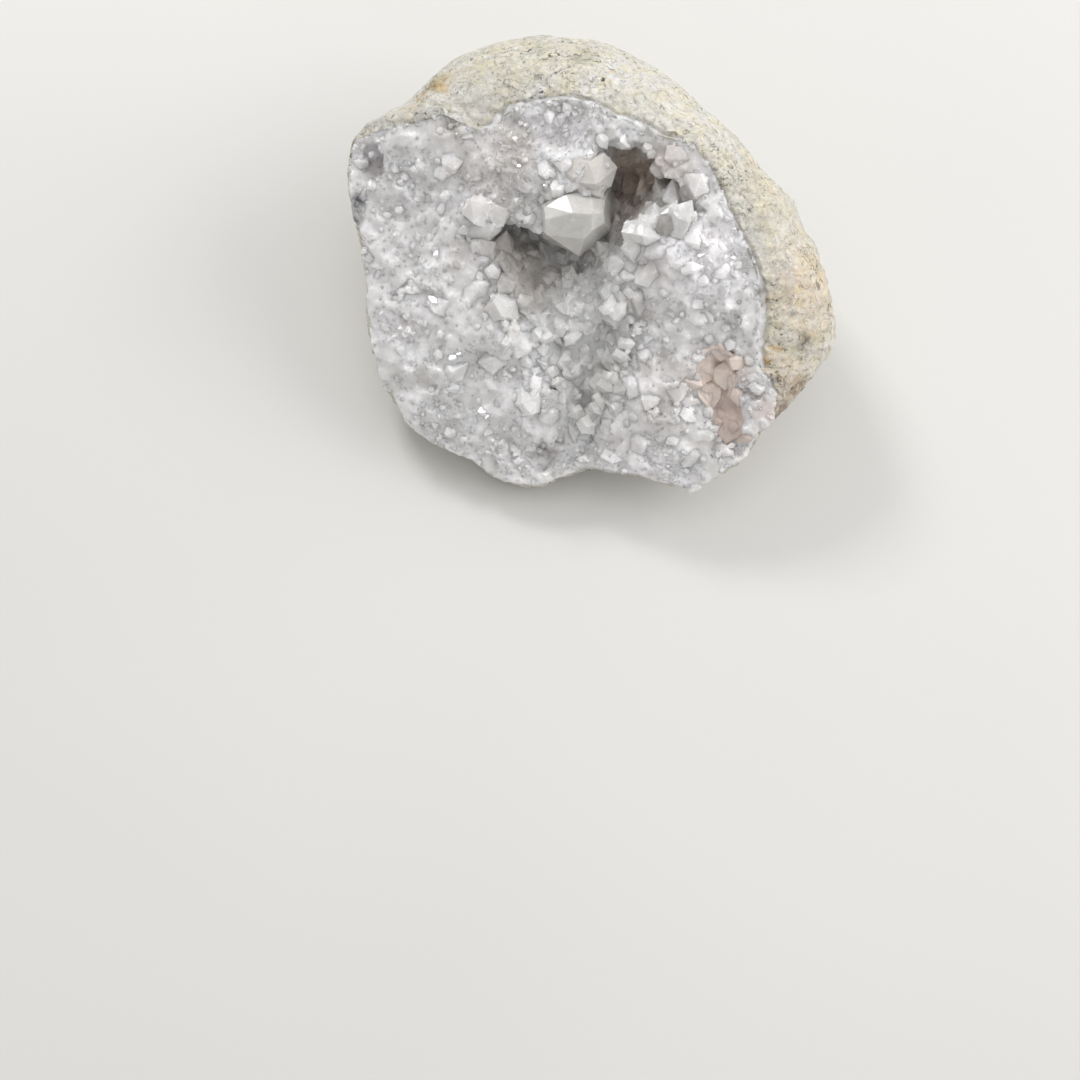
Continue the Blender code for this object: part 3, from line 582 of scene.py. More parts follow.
def quartz_material(name, dark, light, transmission, subsurface, roughness, tints=(), tilts=()):
    """Clearer quartz between two colours, with a random lean of its small faces where tilts are given."""
    material, tree, shader = new_material(name)
    where = placed(tree)
    shaken = shaken_place(tree, where, 4 * MM, 3 * MM)
    broad = ramp(tree, noise_node(tree, where, 8 * MM, 6, 0.65, 0.3), (0.34, dark), (0.60, light))
    chunks = ramp(tree, cells_node(tree, shaken, 2.8 * MM), (0.0, 0.78), (1.0, 1.0))
    wisps = ramp(tree, noise_node(tree, where, 1.1 * MM, 5, 0.75, 0.6), (0.36, 0.78), (0.56, 1.0))
    colour = mixed(tree, 0.5, broad, chunks, "MULTIPLY")
    colour = mixed(tree, 0.5, colour, wisps, "MULTIPLY")
    tree.links.new(tinted(tree, colour, shaken, tints, 0.8), shader.inputs["Base Color"])
    shader.inputs["Roughness"].default_value = roughness
    shader.inputs["Transmission Weight"].default_value = transmission
    make_quartz(shader, subsurface, 2 * MM)
    grain = 0.08 * MM if tilts else 0.01 * MM
    faceted_normal(tree, shader, shaken, tilts, grain)
    return material


def glint_material():
    return quartz_material("glint_quartz", (0.80, 0.79, 0.79), (0.98, 0.97, 0.975), 0.0, 0.4, 0.06)


def clear_material():
    # Painted shade deep in the hollow and under its roof, and painted light on its cluster
    tints = [(at_plane(u, v, w), radius * MM, tint, 1.0) for u, v, w, radius, tint in HOLLOW_PAINTED_SHADE]
    tilts = ((2.6 * MM, 0.22), (0.95 * MM, 0.32))
    return quartz_material("clear_quartz_crystals", (0.75, 0.745, 0.74), (0.86, 0.86, 0.855),
                           0.08, 0.6, 0.14, tints, tilts)


def calcite_material():
    return quartz_material("calcite_crystal_glass", (0.82, 0.795, 0.755), (0.91, 0.895, 0.86),
                           0.25, 0.4, 0.08)


def smoky_material():
    return quartz_material("smoky_quartz", (0.74, 0.70, 0.66), (0.86, 0.83, 0.79), 0.25, 0.5, 0.16,
                           tilts=((4 * MM, 0.12),))


def peach_material():
    return quartz_material("peach_chalcedony_wax", (0.76, 0.66, 0.60), (0.87, 0.76, 0.69), 0.0, 0.6, 0.2,
                           seen_spots(SIGHT_TREE, POCKET_TINTS))


def glass_material():
    material, tree, shader = new_material("clear_quartz_glass")
    where = placed(tree)
    colour = ramp(tree, noise_node(tree, where, 3 * MM, 5, 0.6),
                  (0.35, (0.68, 0.64, 0.61)), (0.6, (0.84, 0.82, 0.80)))
    tree.links.new(colour, shader.inputs["Base Color"])
    shader.inputs["Roughness"].default_value = 0.14
    shader.inputs["IOR"].default_value = QUARTZ_IOR
    shader.inputs["Transmission Weight"].default_value = 0.8
    bump(tree, shader, noise_node(tree, where, 1.5 * MM, 3), 0.05 * MM)
    return material


def rind_material():
    """Cream stone with yellow and grey clouds, drawn-out dark specks, veins and pale flecks."""
    material, tree, shader = new_material("cream_rind_stone")
    where = placed(tree)
    shaken = shaken_place(tree, where, 3 * MM, 6 * MM)
    drawn = stretched(tree, shaken, (0.5, 1.0, 1.0))
    broad = ramp(tree, noise_node(tree, where, 14 * MM, 8, 0.72, 0.5),
                 (0.36, (1.0, 0.94, 0.78)), (0.50, (1.0, 0.96, 0.86)), (0.62, (1.0, 0.985, 0.95)))
    yellow = ramp(tree, noise_node(tree, where, 4 * MM, 8, 0.72), (0.48, 0.0), (0.60, 0.7))
    colour = mixed(tree, yellow, broad, (1.0, 0.91, 0.64))
    grey = ramp(tree, noise_node(tree, drawn, 6 * MM, 9, 0.8), (0.50, 0.0), (0.58, 0.75))
    colour = mixed(tree, grey, colour, (0.80, 0.78, 0.70))
    speckled = ramp(tree, noise_node(tree, where, 10 * MM, 5, 0.6), (0.40, 0.45), (0.56, 1.0))
    specks = ramp(tree, noise_node(tree, drawn, 1.0 * MM, 6, 0.8), (0.38, 0.10), (0.43, 0.55), (0.47, 1.0))
    colour = mixed(tree, speckled, colour, mixed(tree, 1.0, colour, specks, "MULTIPLY"))
    veins = ramp(tree, noise_node(tree, shaken, 1.7 * MM, 6, 0.75), (0.41, 0.66), (0.50, 1.0))
    colour = mixed(tree, 0.6, colour, veins, "MULTIPLY")
    flecks = ramp(tree, noise_node(tree, where, 1.6 * MM, 7, 0.85), (0.52, 0.0), (0.59, 0.9))
    colour = mixed(tree, flecks, colour, (1.0, 0.99, 0.93))
    # Spots of colour, and painted light on the rind's shaded left slope and right side
    tints = seen_spots(RIND_TREE, RIND_COLOUR_AND_PAINTED_LIGHT)
    colour = tinted(tree, colour, shaken, tints, 0.9, ragged_mask(tree, where, 0.35))
    tree.links.new(colour, shader.inputs["Base Color"])
    shader.inputs["Roughness"].default_value = 0.8
    shader.inputs["Specular IOR Level"].default_value = 0.3
    bump(tree, shader, noise_node(tree, drawn, 1.2 * MM, 7, 0.8), 0.9 * MM)
    return material


def floor_material():
    material, tree, shader = new_material("pale_floor")
    where = placed(tree)
    colour = ramp(tree, noise_node(tree, where, 200 * MM, 2),
                  (0.3, (0.70, 0.69, 0.67)), (0.7, (0.73, 0.72, 0.70)))
    tree.links.new(colour, shader.inputs["Base Color"])
    shader.inputs["Roughness"].default_value = 0.8
    return material


# Colour, painted shade and painted light on the picture plane: (u, v, radius, tint, share), in millimetres
# The rind's spots and clouds of colour, and painted light on the shaded slope at the left and the right side
RIND_COLOUR_AND_PAINTED_LIGHT = [
    (-31.0, 35.6, 5.0, (0.80, 0.56, 0.26), 0.9), (-37.0, 30.8, 4.0, (1.06, 0.95, 0.78), 0.9),
    (-34.0, 38.0, 3.0, (0.62, 0.66, 0.62), 0.9), (-2.0, 41.5, 5.0, (0.60, 0.63, 0.60), 0.9),
    (-10.0, 43.0, 4.0, (0.70, 0.73, 0.66), 0.8), (4.2, 38.2, 1.6, (0.95, 0.72, 0.30), 0.9),
    (32.6, -21.0, 2.2, (0.82, 0.56, 0.22), 1.0), (34.6, -18.8, 2.2, (0.82, 0.56, 0.22), 1.0),
    (36.6, -16.8, 2.0, (0.86, 0.64, 0.32), 1.0), (42.2, -16.0, 3.6, (0.34, 0.31, 0.29), 1.0),
    (41.5, -24.5, 4.0, (0.52, 0.47, 0.45), 1.0), (38.0, -29.0, 4.0, (0.52, 0.47, 0.45), 1.0),
    (34.0, -34.0, 4.0, (0.52, 0.47, 0.45), 1.0), (-48.4, 12.0, 3.2, (0.16, 0.16, 0.18), 1.0),
    (-47.8, 7.6, 3.0, (0.25, 0.25, 0.28), 1.0), (-34.0, 33.5, 2.5, (0.78, 0.52, 0.25), 0.9),
    (44.0, -5.0, 16.0, (1.08, 0.94, 0.81), 1.0), (34.0, 16.0, 12.0, (1.0, 0.94, 0.85), 1.0),
    (38.0, -26.0, 12.0, (0.97, 0.85, 0.76), 1.0),
]

# The wall: patches of colour, painted shade in its creases, pits, slit and hollow edges, painted light on
# the hump
WALL_COLOUR_PAINTED_SHADE_AND_LIGHT = [
    (22.0, 2.0, 15.0, (1.31, 1.30, 1.33), 1.0), (-20.0, 20.0, 13.0, (0.86, 0.83, 0.81), 0.9),
    (-14.8, 23.0, 6.0, (0.88, 0.85, 0.83), 1.0), (-11.7, 18.0, 4.5, (1.16, 1.16, 1.17), 1.0),
    (-22.3, 11.0, 5.0, (1.14, 1.14, 1.15), 1.0), (-39.0, -15.0, 9.0, (1.09, 1.09, 1.10), 1.0),
    (-13.0, -30.0, 8.0, (1.12, 1.12, 1.13), 1.0), (7.0, -40.0, 9.0, (1.10, 1.09, 1.10), 1.0),
    (9.0, -20.5, 4.5, (1.10, 1.10, 1.11), 1.0), (16.0, 19.0, 9.0, (0.92, 0.88, 0.85), 0.9),
    (-6.0, 27.0, 7.0, (0.92, 0.90, 0.93), 0.8), (-26.0, 2.0, 7.0, (0.82, 0.80, 0.79), 0.9),
    (-38.0, 16.0, 8.0, (0.86, 0.86, 0.86), 0.8), (-18.0, -10.0, 9.0, (0.88, 0.88, 0.87), 0.9),
    (-24.0, -20.0, 9.0, (0.90, 0.90, 0.90), 0.9), (14.0, -22.0, 8.0, (0.90, 0.87, 0.86), 0.8),
    (25.0, -22.0, 6.0, (0.82, 0.77, 0.74), 0.9), (1.6, 17.0, 5.5, (0.80, 0.75, 0.70), 0.9),
    (11.0, -1.0, 5.0, (0.80, 0.78, 0.77), 1.0), (13.2, -31.0, 7.0, (0.84, 0.82, 0.81), 1.0),
    (0.0, -20.0, 12.0, (0.90, 0.90, 0.90), 1.0), (-15.0, -1.0, 5.0, (0.72, 0.68, 0.66), 1.0),
    (-11.7, -11.0, 3.0, (0.80, 0.79, 0.78), 0.9), (-10.3, -20.6, 3.0, (0.80, 0.79, 0.78), 0.9),
    (-5.8, -25.0, 3.0, (0.80, 0.79, 0.78), 0.9), (10.0, -9.0, 5.0, (0.80, 0.78, 0.77), 1.0),
    (14.0, 22.0, 4.0, (0.82, 0.78, 0.75), 0.9), (-10.0, -38.0, 4.0, (0.54, 0.52, 0.51), 1.0),
    (-44.2, 19.6, 3.4, (0.42, 0.41, 0.41), 1.0), (28.0, -38.0, 6.0, (0.84, 0.82, 0.82), 0.8),
    (25.0, -26.0, 10.0, (0.82, 0.77, 0.74), 1.0), (29.5, -21.5, 4.0, (0.90, 0.80, 0.74), 1.0),
    (34.5, -29.0, 4.0, (1.15, 1.03, 1.0), 1.0), (21.0, -22.0, 7.0, (0.97, 0.92, 0.89), 1.0),
    (-28.0, 27.0, 4.0, (0.80, 0.77, 0.74), 0.9), (-47.6, 9.0, 2.8, (0.12, 0.12, 0.14), 1.0),
    (-47.2, 12.4, 2.6, (0.12, 0.12, 0.14), 1.0),
]

# Painted shade and painted light in the hollow: (u, v, w, radius, tint), in millimetres
# It is darker deep down and under the roof, a little browner there, and lighter on the cluster
HOLLOW_PAINTED_SHADE = [
    (9.0, 18.0, -4.0, 15.0, (0.88, 0.76, 0.66)), (12.0, 11.0, -4.0, 10.0, (0.60, 0.54, 0.51)),
    (-14.0, 2.0, -6.0, 13.0, (0.68, 0.64, 0.61)), (2.0, 4.0, -8.0, 9.0, (0.80, 0.77, 0.75)),
    (-1.8, -9.0, -6.0, 7.0, (1.14, 1.14, 1.15)), (-12.0, -6.0, -6.0, 6.0, (0.70, 0.67, 0.65)),
    (1.0, -25.0, -6.0, 13.0, (0.72, 0.71, 0.70)),
]

# The greyer lower part of the pocket: (u, v, radius, tint, share), in millimetres
POCKET_TINTS = [(28.0, -32.0, 9.0, (0.70, 0.66, 0.65), 1.0)]


# Pieces

SEEDS = {"face_crystals": 101, "hollow_points": 202, "sugar_grains": 303, "glints": 77, "clear_points": 12,
         "smoky_lobe": 13, "peach_lumps": 14}


def source_of(name):
    """The piece's own source of random numbers."""
    return np.random.default_rng(SEEDS[name])


def finish_piece(made, material, slot, *nodes):
    """Gives a piece its material, puts it under the root and hides the solids it stands for; slot is unused.
    """
    made.data.materials.clear()
    made.data.materials.append(material)
    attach(made, "root")
    if nodes:
        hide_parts(*nodes)


def rind_piece(material):
    """The rind with its lumps and grain; its broken edge is uneven and meets the quartz."""
    made = subdivided(node_copy("rind", "rind_stone"), 3)
    mesh = made.data
    points, _ = arrays_of(mesh)
    lumps = noise_values(points, 6 * MM, 3.1) * 0.5 + noise_values(points, 2.2 * MM, 7.7) * 0.35
    grain = noise_values(points, 0.9 * MM, 1.7)
    above_ground = np.clip(points[:, 2] / (1.5 * MM), 0, 1)
    height = (lumps * 0.7 + grain * 0.22 + 0.05) * MM * above_ground
    moved = points + normals_of(mesh) * height[:, None]
    rim = distance_to(WALL_TREE, points)
    edge = np.flatnonzero(rim < 2 * MM)
    shakes = [noise_values(points[edge], 1.4 * MM, seed) for seed in (4.4, 6.1, 9.3)]
    moved[edge] += np.column_stack(shakes) * (0.45 * MM)
    inner = np.flatnonzero(rim < 0.7 * MM)
    moved[inner] = drawn_to(WALL_TREE, points[inner], 0.8 * MM, 0.25 * MM)
    moved[:, 2] = np.maximum(moved[:, 2], 0)
    mesh.vertices.foreach_set("co", moved.ravel())
    thin_hidden(made, (rim < 1.2 * MM) & covered_by(WALL_TREE, points))
    made.data.shade_smooth()
    finish_piece(made, material, "cream_rind", "rind")


# Where the face is sugary, and where it is smoother: (u, v, radius) in millimetres
SUGAR = [
    (-15.0, 19.0, 8.0), (-22.5, 11.0, 5.0), (24.0, 0.0, 8.0), (-12.0, -27.0, 4.5), (-40.0, -12.0, 5.0),
    (-30.0, -33.0, 7.0), (-4.0, 28.0, 6.0), (8.0, -16.0, 4.0), (-2.0, -40.0, 6.0), (15.0, -42.0, 6.0),
    (30.0, -25.0, 4.0), (-16.0, -38.0, 6.0),
]
SMOOTH = [
    (-2.0, -9.0, 8.0), (-2.0, -24.0, 7.0), (-20.0, -12.0, 6.0), (-30.0, -4.0, 6.0), (-25.0, -22.0, 6.0),
    (12.0, 2.0, 5.0), (1.6, 17.0, 6.0), (16.0, 21.0, 5.0), (-40.0, 6.0, 5.0), (26.0, -20.0, 6.0),
    (-44.4, 20.0, 4.0),
]

# Small pits of the broken face: (u, v, radius, depth) in millimetres
PITS = [
    (-44.6, 21.6, 1.6, 2.6), (-43.6, 18.4, 1.6, 2.6), (-6.8, -36.2, 0.9, 2.6), (-9.0, -39.0, 2.4, 1.6),
    (-13.0, -38.6, 2.0, 1.0), (-29.0, 27.4, 1.6, 0.9), (-30.0, 10.6, 2.2, 0.8), (-7.4, -30.8, 1.2, 0.8),
]

# Flat facets of the broken face: (width, lean, step, seed)
WALL_FACETS = ((5.5 * MM, 0.19, 0.26 * MM, 41), (2.4 * MM, 0.20, 0.10 * MM, 43))


def faceted_wall():
    """The quartz wall's surface with facets, grains and pits where it is broken, as points and faces."""
    made = remade(node_copy("quartz_wall", "quartz_base"), BASE_VOXEL)
    mesh = made.data
    points, triangles = arrays_of(mesh)
    normals = normals_of(mesh)
    shown = np.flatnonzero(~hidden_by(RIND_TREE, points, normals, TOUCHING))
    where = points[shown]
    facing = normals[shown]
    seen = on_plane(where)
    height = sum(chunked(where, facing, *facet) for facet in WALL_FACETS)
    height += (0.12 + 0.22 * region(seen, SUGAR)) * MM * noise_values(where, 1.3 * MM, 5.5)
    height = np.clip(height, -1.1 * MM, 0.9 * MM) - 0.15 * MM
    for u, v, radius, depth in PITS:
        height -= depth * MM * region(seen, [(u, v, radius)])
    height *= np.clip(distance_to(RIND_TREE, where) / (2.5 * MM), 0.4, 1)
    points[shown] += facing * height[:, None]
    edge = np.flatnonzero(distance_to(RIND_TREE, points) < 0.9 * MM)
    points[edge] += normals[edge] * (0.45 * MM * noise_values(points[edge], 1.1 * MM, 2.9))[:, None]
    for node in ("crystal_crust", "chalcedony_lumps"):
        points = drawn_to(bvh_of(node), points, 0.9 * MM, 0.3 * MM)
    bpy.data.objects.remove(made)
    return points, triangles.tolist()


# Blocks that stand out on the face: (u, v, radius, lean right, lean up, height to radius), in millimetres
BLOCKS = [
    (-22.8, 9.4, 3.4, -0.1, -0.6, 0.9), (-19.4, 9.0, 2.6, 0.2, -0.8, 0.9),
    (-25.6, 12.0, 2.2, -0.3, 0.1, 0.7), (16.4, 20.6, 3.2, -0.5, -0.5, 0.8),
    (19.4, 14.6, 3.0, -0.5, -0.6, 0.8), (23.0, 18.6, 2.6, 0.2, 0.1, 0.7),
    (12.4, 25.6, 2.4, -0.3, -0.7, 0.8), (-9.6, 18.6, 1.9, 0.2, -0.3, 0.9),
    (-12.4, 8.2, 2.2, 0.3, -0.7, 0.8), (-22.4, 7.4, 4.2, 0.0, -0.3, 0.5), (-14.6, 9.4, 1.8, 0.1, -0.8, 0.9),
    (20.4, -18.6, 1.6, -0.3, 0.2, 0.6), (19.8, -22.8, 1.5, -0.5, 0.0, 0.6),
    (20.6, -26.8, 1.7, -0.4, 0.0, 0.6), (22.6, -29.8, 1.5, -0.3, 0.0, 0.6),
    (23.4, -33.6, 1.6, -0.4, -0.2, 0.6), (27.6, -16.0, 1.5, 0.2, 0.4, 0.7),
    (31.6, -19.4, 1.4, 0.4, 0.2, 0.8), (32.2, -24.2, 1.5, 0.4, 0.0, 0.8), (30.8, -27.2, 1.3, 0.3, 0.0, 0.7),
    (32.8, -33.6, 1.5, 0.4, 0.0, 0.6), (31.8, -37.2, 1.5, 0.3, -0.3, 0.6),
    (26.8, -38.6, 1.6, -0.1, -0.4, 0.6), (9.4, -1.2, 3.8, -0.7, 0.2, 0.7),
    (8.2, -7.4, 3.0, -0.7, -0.1, 0.7), (12.2, 4.2, 2.8, -0.4, 0.7, 0.8),
    (-24.0, -4.0, 4.2, -0.1, 0.2, 0.55), (-30.6, -8.2, 2.8, 0.4, 0.3, 0.7),
    (-17.0, -7.6, 3.4, 0.6, 0.2, 0.6), (-14.0, -15.0, 3.6, 0.6, 0.1, 0.6),
    (-20.0, -18.6, 3.4, 0.0, 0.3, 0.5), (-29.0, -21.0, 3.6, -0.2, 0.1, 0.5),
    (-11.6, -27.0, 3.6, 0.6, 0.3, 0.6), (-8.0, -30.2, 2.6, 0.7, -0.2, 0.7),
    (-36.0, -3.0, 3.6, -0.3, 0.2, 0.5), (-28.0, 22.0, 3.0, 0.2, 0.5, 0.2),
    (9.6, -18.0, 3.0, -0.5, -0.1, 0.7), (7.4, -25.0, 2.6, -0.4, 0.0, 0.8),
    (11.4, -27.0, 2.4, 0.2, 0.2, 0.7), (17.0, -24.0, 3.4, 0.3, 0.3, 0.5),
    (20.0, -38.6, 3.2, 0.2, -0.2, 0.6), (9.0, -36.0, 3.0, 0.0, -0.2, 0.6),
    (34.2, -28.8, 3.4, 0.4, -0.1, 0.6), (33.0, -24.8, 2.0, 0.3, 0.1, 0.7),
    (31.6, -22.0, 1.8, 0.1, 0.5, 1.0), (-23.2, -12.6, 0.9, 0.0, 0.8, 1.5),
    (-20.8, -12.9, 0.9, 0.1, 0.8, 1.4), (-17.8, -12.2, 1.0, 0.0, 0.8, 1.5),
    (-15.6, -12.8, 0.9, 0.2, 0.8, 1.4), (26.0, -1.0, 2.6, 0.2, 0.2, 0.6), (20.0, 6.0, 2.4, 0.0, 0.5, 0.7),
]


def placed_blocks(tree, blocks, source, rise=0.55):
    """Crystals at given places of the surface, as seen along the sight lines."""
    seats = [seen_at(tree, u, v) for u, v, *_ in blocks]
    bases = np.array([seat for seat, _ in seats])
    outward = np.array([normal for _, normal in seats])
    radii = np.array([block[2] for block in blocks]) * MM
    leans = np.array([block[3] * RIGHT + block[4] * UP for block in blocks])
    axes = unit(0.5 * outward + 0.5 * TOWARDS + leans)
    lengths = np.array([block[5] for block in blocks]) * radii * rise - 0.6 * radii
    return crystal_mesh(bases, axes, radii, lengths, 0.6 * radii, 1.6 * radii, source, 0.6)


# Small flat faces that mirror the light: (u, v, radius) in millimetres
GLINTS = [
    (-28.2, -19.0, 0.7), (-22.2, -29.6, 0.8), (-0.8, -7.4, 0.8), (-31.6, 1.8, 0.5), (-32.2, -7.4, 0.6),
    (21.4, 1.6, 0.45), (-19.0, -20.6, 0.4), (-15.0, 19.4, 0.35), (-0.6, 22.0, 0.35), (6.4, 4.2, 0.5),
    (-27.0, -18.2, 0.4), (-21.4, -30.6, 0.45), (-9.6, 15.6, 0.35), (28.0, 1.0, 0.35),
]


def glints_piece(material):
    """Flat-topped crystals, drawn out to one side, that mirror the main light to the eye."""
    source = source_of("glints")
    bases = np.array([seen_at(SIGHT_TREE, u, v)[0] for u, v, _ in GLINTS])
    radii = np.array([radius for _, _, radius in GLINTS]) * MM
    axes = unit(unit(lit_facet_light(KEY_DISTANCE) - bases) + unit(EYE - bases))
    points, faces = crystal_mesh(bases, axes, radii, 0.7 * radii, 0.01 * radii, 2 * radii, source, 0.05)
    bodies = points.reshape(-1, CRYSTAL_CORNERS, 3)
    top = (bodies[:, TIP] * axes).sum(axis=1)[:, None]
    height = (bodies[:, SIDES:TIP] * axes[:, None, :]).sum(axis=2)
    bodies[:, SIDES:TIP] += (top - height)[:, :, None] * axes[:, None, :]
    draw = unit(np.cross(axes, source.normal(0, 1, axes.shape)))
    along = ((bodies - bases[:, None, :]) * draw[:, None, :]).sum(axis=2)
    bodies += (source.uniform(0.2, 1.0, len(bases))[:, None] * along)[:, :, None] * draw[:, None, :]
    finish_piece(joined("glints", [(bodies.reshape(-1, 3), faces)]), material, "milky_quartz")


def shown_places(points, triangles, count, reach, source):
    """Random places of a surface, with its normals there, without those that lie against the rind."""
    places, normals = scattered(points, triangles, count, source)
    hidden = hidden_by(RIND_TREE, places, normals, reach)
    return places[~hidden], normals[~hidden]


def embedded(places, normals, sizes, wanted, crowding, lean, sink, source):
    """Crystals scattered over a surface, the largest first, each sunk into it by a share of its size."""
    order = np.argsort(-sizes)
    order = order[(source.random(len(places)) < wanted)[order]]
    kept = order[thinned(places[order], sizes[order], crowding)]
    sizes = sizes[kept]
    axes = leaning(normals[kept], lean, source)
    lengths = sizes * source.uniform(0.1, 0.7, len(kept))
    tips = sizes * source.uniform(0.6, 1.2, len(kept))
    sunk = places[kept] - normals[kept] * (sizes * sink)[:, None]
    return crystal_mesh(sunk, axes, sizes, lengths, tips, sizes * 0.9, source)


def wall_piece(material):
    """The quartz with its broken face; its hidden back keeps fewer triangles."""
    made = remade(joined("quartz_mass", [faceted_wall()]), WALL_VOXEL)
    points, _ = arrays_of(made.data)
    thin_hidden(made, hidden_by(RIND_TREE, points, normals_of(made.data), BACK_REACH))
    made.data.shade_flat()
    finish_piece(made, material, "milky_quartz", "quartz_wall")
    return made


def crystals_piece(material):
    """The larger crystals and blocks of the broken face."""
    source = source_of("face_crystals")
    surface = arrays_of(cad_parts["quartz_wall"].data)
    places, normals = shown_places(*surface, 12000, TOUCHING, source)
    smooth = region(on_plane(places), SMOOTH)
    rim = distance_to(RIND_TREE, places)
    sizes = (0.6 + 1.3 * source.random(len(places)) ** 3) * MM
    wanted = 0.30 * (1 - smooth) * (rim > 0.4 * sizes)
    crystals = embedded(places, normals, sizes, wanted, 0.68, 1.1, 0.95, source)
    blocks = placed_blocks(WALL_TREE, BLOCKS, source)
    made = joined("face_crystals", [kept_on_face(*crystals), kept_on_face(*blocks)])
    finish_piece(made, material, "milky_quartz")


def grains_piece(wall, material):
    """Sugary grains, dense in the sugary regions and patches and along the rim, sparse elsewhere."""
    source = source_of("sugar_grains")
    places, normals = shown_places(*arrays_of(wall.data), 90000, 0.4 * MM, source)
    rim = distance_to(RIND_TREE, places)
    sugar = region(on_plane(places), SUGAR)
    patches = noise_values(places, 5 * MM, 8.8) > 0.15
    sizes = (0.28 + 0.5 * source.random(len(places)) ** 3) * MM
    wanted = np.clip(sugar * 1.2 - 0.2, 0, 1) * 0.8 + 0.3 * patches + 0.7 * (rim < 1.4 * MM) + 0.03
    grains = embedded(places, normals, sizes, wanted, 0.72, 1.4, 0.72, source)
    finish_piece(joined("sugar_grains", [kept_on_face(*grains)]), material, "milky_quartz")


# The hollow's back, (u, v, radius), and its middle, (u, v, w), in millimetres
HOLLOW_BACK = [(10.0, 16.0, 12.0), (-14.0, 3.0, 8.0), (6.0, 4.0, 6.0)]
HOLLOW_MIDDLE = (-2.0, -10.0, -18.0)

# Larger crystals of the hollow: (u, v, radius, lean right, lean up, height to radius), in millimetres
HOLLOW_BLOCKS = [
    (-6.0, 0.8, 2.2, 0.8, 0.0, 0.9), (-1.2, 1.4, 2.4, -0.6, 0.2, 0.8), (2.6, 1.6, 1.8, 0.2, 0.6, 0.9),
    (-12.0, 2.2, 2.0, 0.6, 0.2, 0.9), (-15.6, 1.2, 1.8, 0.2, -0.3, 0.9), (-10.4, -2.6, 2.0, 0.3, 0.3, 0.8),
    (-6.8, -3.4, 1.8, -0.2, 0.4, 0.8), (-2.0, -4.4, 3.0, 0.0, 0.4, 0.7), (-5.6, -8.0, 3.0, -0.5, 0.1, 0.7),
    (0.6, -9.0, 3.4, 0.1, 0.1, 0.6), (3.6, -6.0, 2.8, 0.4, 0.3, 0.7), (-3.4, -13.0, 3.0, -0.2, -0.3, 0.6),
    (2.4, -14.0, 3.0, 0.3, -0.3, 0.6), (4.6, -10.6, 2.4, 0.6, 0.0, 0.7), (-7.6, -12.4, 2.4, -0.6, 0.0, 0.6),
    (-1.0, -19.6, 2.8, 0.1, -0.3, 0.6), (3.4, -19.2, 2.4, 0.5, 0.0, 0.6),
    (-3.4, -24.4, 2.4, -0.4, -0.2, 0.6), (1.6, -24.6, 2.6, 0.3, -0.2, 0.6),
    (4.4, -29.0, 2.0, 0.4, -0.2, 0.7), (-0.6, -30.6, 2.2, -0.3, -0.3, 0.6),
    (5.4, -24.4, 2.0, 0.5, 0.0, 0.7), (-6.4, -20.0, 2.2, -0.6, 0.0, 0.6), (3.0, -33.0, 1.8, 0.2, -0.3, 0.6),
]

# Clear crystals of the hollow, and the greyish lobe behind the large crystal, given in the same way
CLEAR_BLOCKS = [
    (9.0, 12.6, 1.7, -0.2, -0.9, 1.8), (11.6, 12.8, 1.8, 0.0, -0.9, 1.6), (13.8, 11.6, 1.6, 0.1, -0.8, 1.4),
    (6.0, 5.2, 2.6, -0.4, 0.3, 0.8), (19.6, 13.6, 2.8, 0.1, -0.2, 0.6), (14.6, 8.2, 2.3, 0.7, 0.6, 1.3),
    (9.6, 6.2, 2.0, 0.3, 0.4, 0.8),
]
SMOKY_BLOCKS = [
    (1.6, 17.6, 4.2, 0.4, -0.2, 0.5), (-2.8, 18.4, 3.2, 0.0, -0.2, 0.4), (2.2, 13.6, 2.6, 0.6, -0.2, 0.5),
    (16.0, 20.0, 2.8, -0.6, -0.4, 0.4), (-10.6, 5.4, 1.3, 0.0, 0.0, 0.6),
]


def block_piece(name, blocks, rise, material, slot):
    """A piece of its own for crystals at given places."""
    made = joined(name, [placed_blocks(SIGHT_TREE, blocks, source_of(name), rise)])
    finish_piece(made, material, slot)


def crust_crystals(source):
    """Crystals that cover the hollow's lining and point away from its middle, larger at the back."""
    points, triangles = arrays_of(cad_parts["crystal_crust"].data)
    places, normals = scattered(points, triangles, 9000, source)
    facing = normals @ TOWARDS > -0.1
    places = places[facing]
    normals = normals[facing]
    back = region(on_plane(places), HOLLOW_BACK)
    sizes = (0.7 + (1.0 + 1.9 * back) * source.random(len(places)) ** 1.5) * MM
    order = np.argsort(-sizes)
    kept = order[thinned(places[order], sizes[order], 0.6)]
    places = places[kept]
    normals = normals[kept]
    sizes = sizes[kept]
    axes = unit(places - at_plane(*HOLLOW_MIDDLE)) * 0.7 + normals
    axes = leaning(unit(axes), 0.5, source)
    lengths = sizes * source.uniform(0.3, 1.2, len(kept))
    tips = sizes * source.uniform(0.9, 1.3, len(kept))
    sunk = places - normals * (sizes * 0.95)[:, None]
    return crystal_mesh(sunk, axes, sizes, lengths, tips, sizes * 0.8, source)


def crust_piece(material):
    """The hollow's lining, and the crystals on it."""
    source = source_of("hollow_points")
    crystals = crust_crystals(source)
    lining = remade(joined("hollow_crystals", [swollen("crystal_crust", 0.3 * MM)]), CRUST_VOXEL)
    large = placed_blocks(SIGHT_TREE, HOLLOW_BLOCKS, source, 0.8)
    finish_piece(joined("hollow_points", [crystals, large]), material, "clear_quartz")
    lining.data.shade_flat()
    finish_piece(lining, material, "clear_quartz", "crystal_crust")


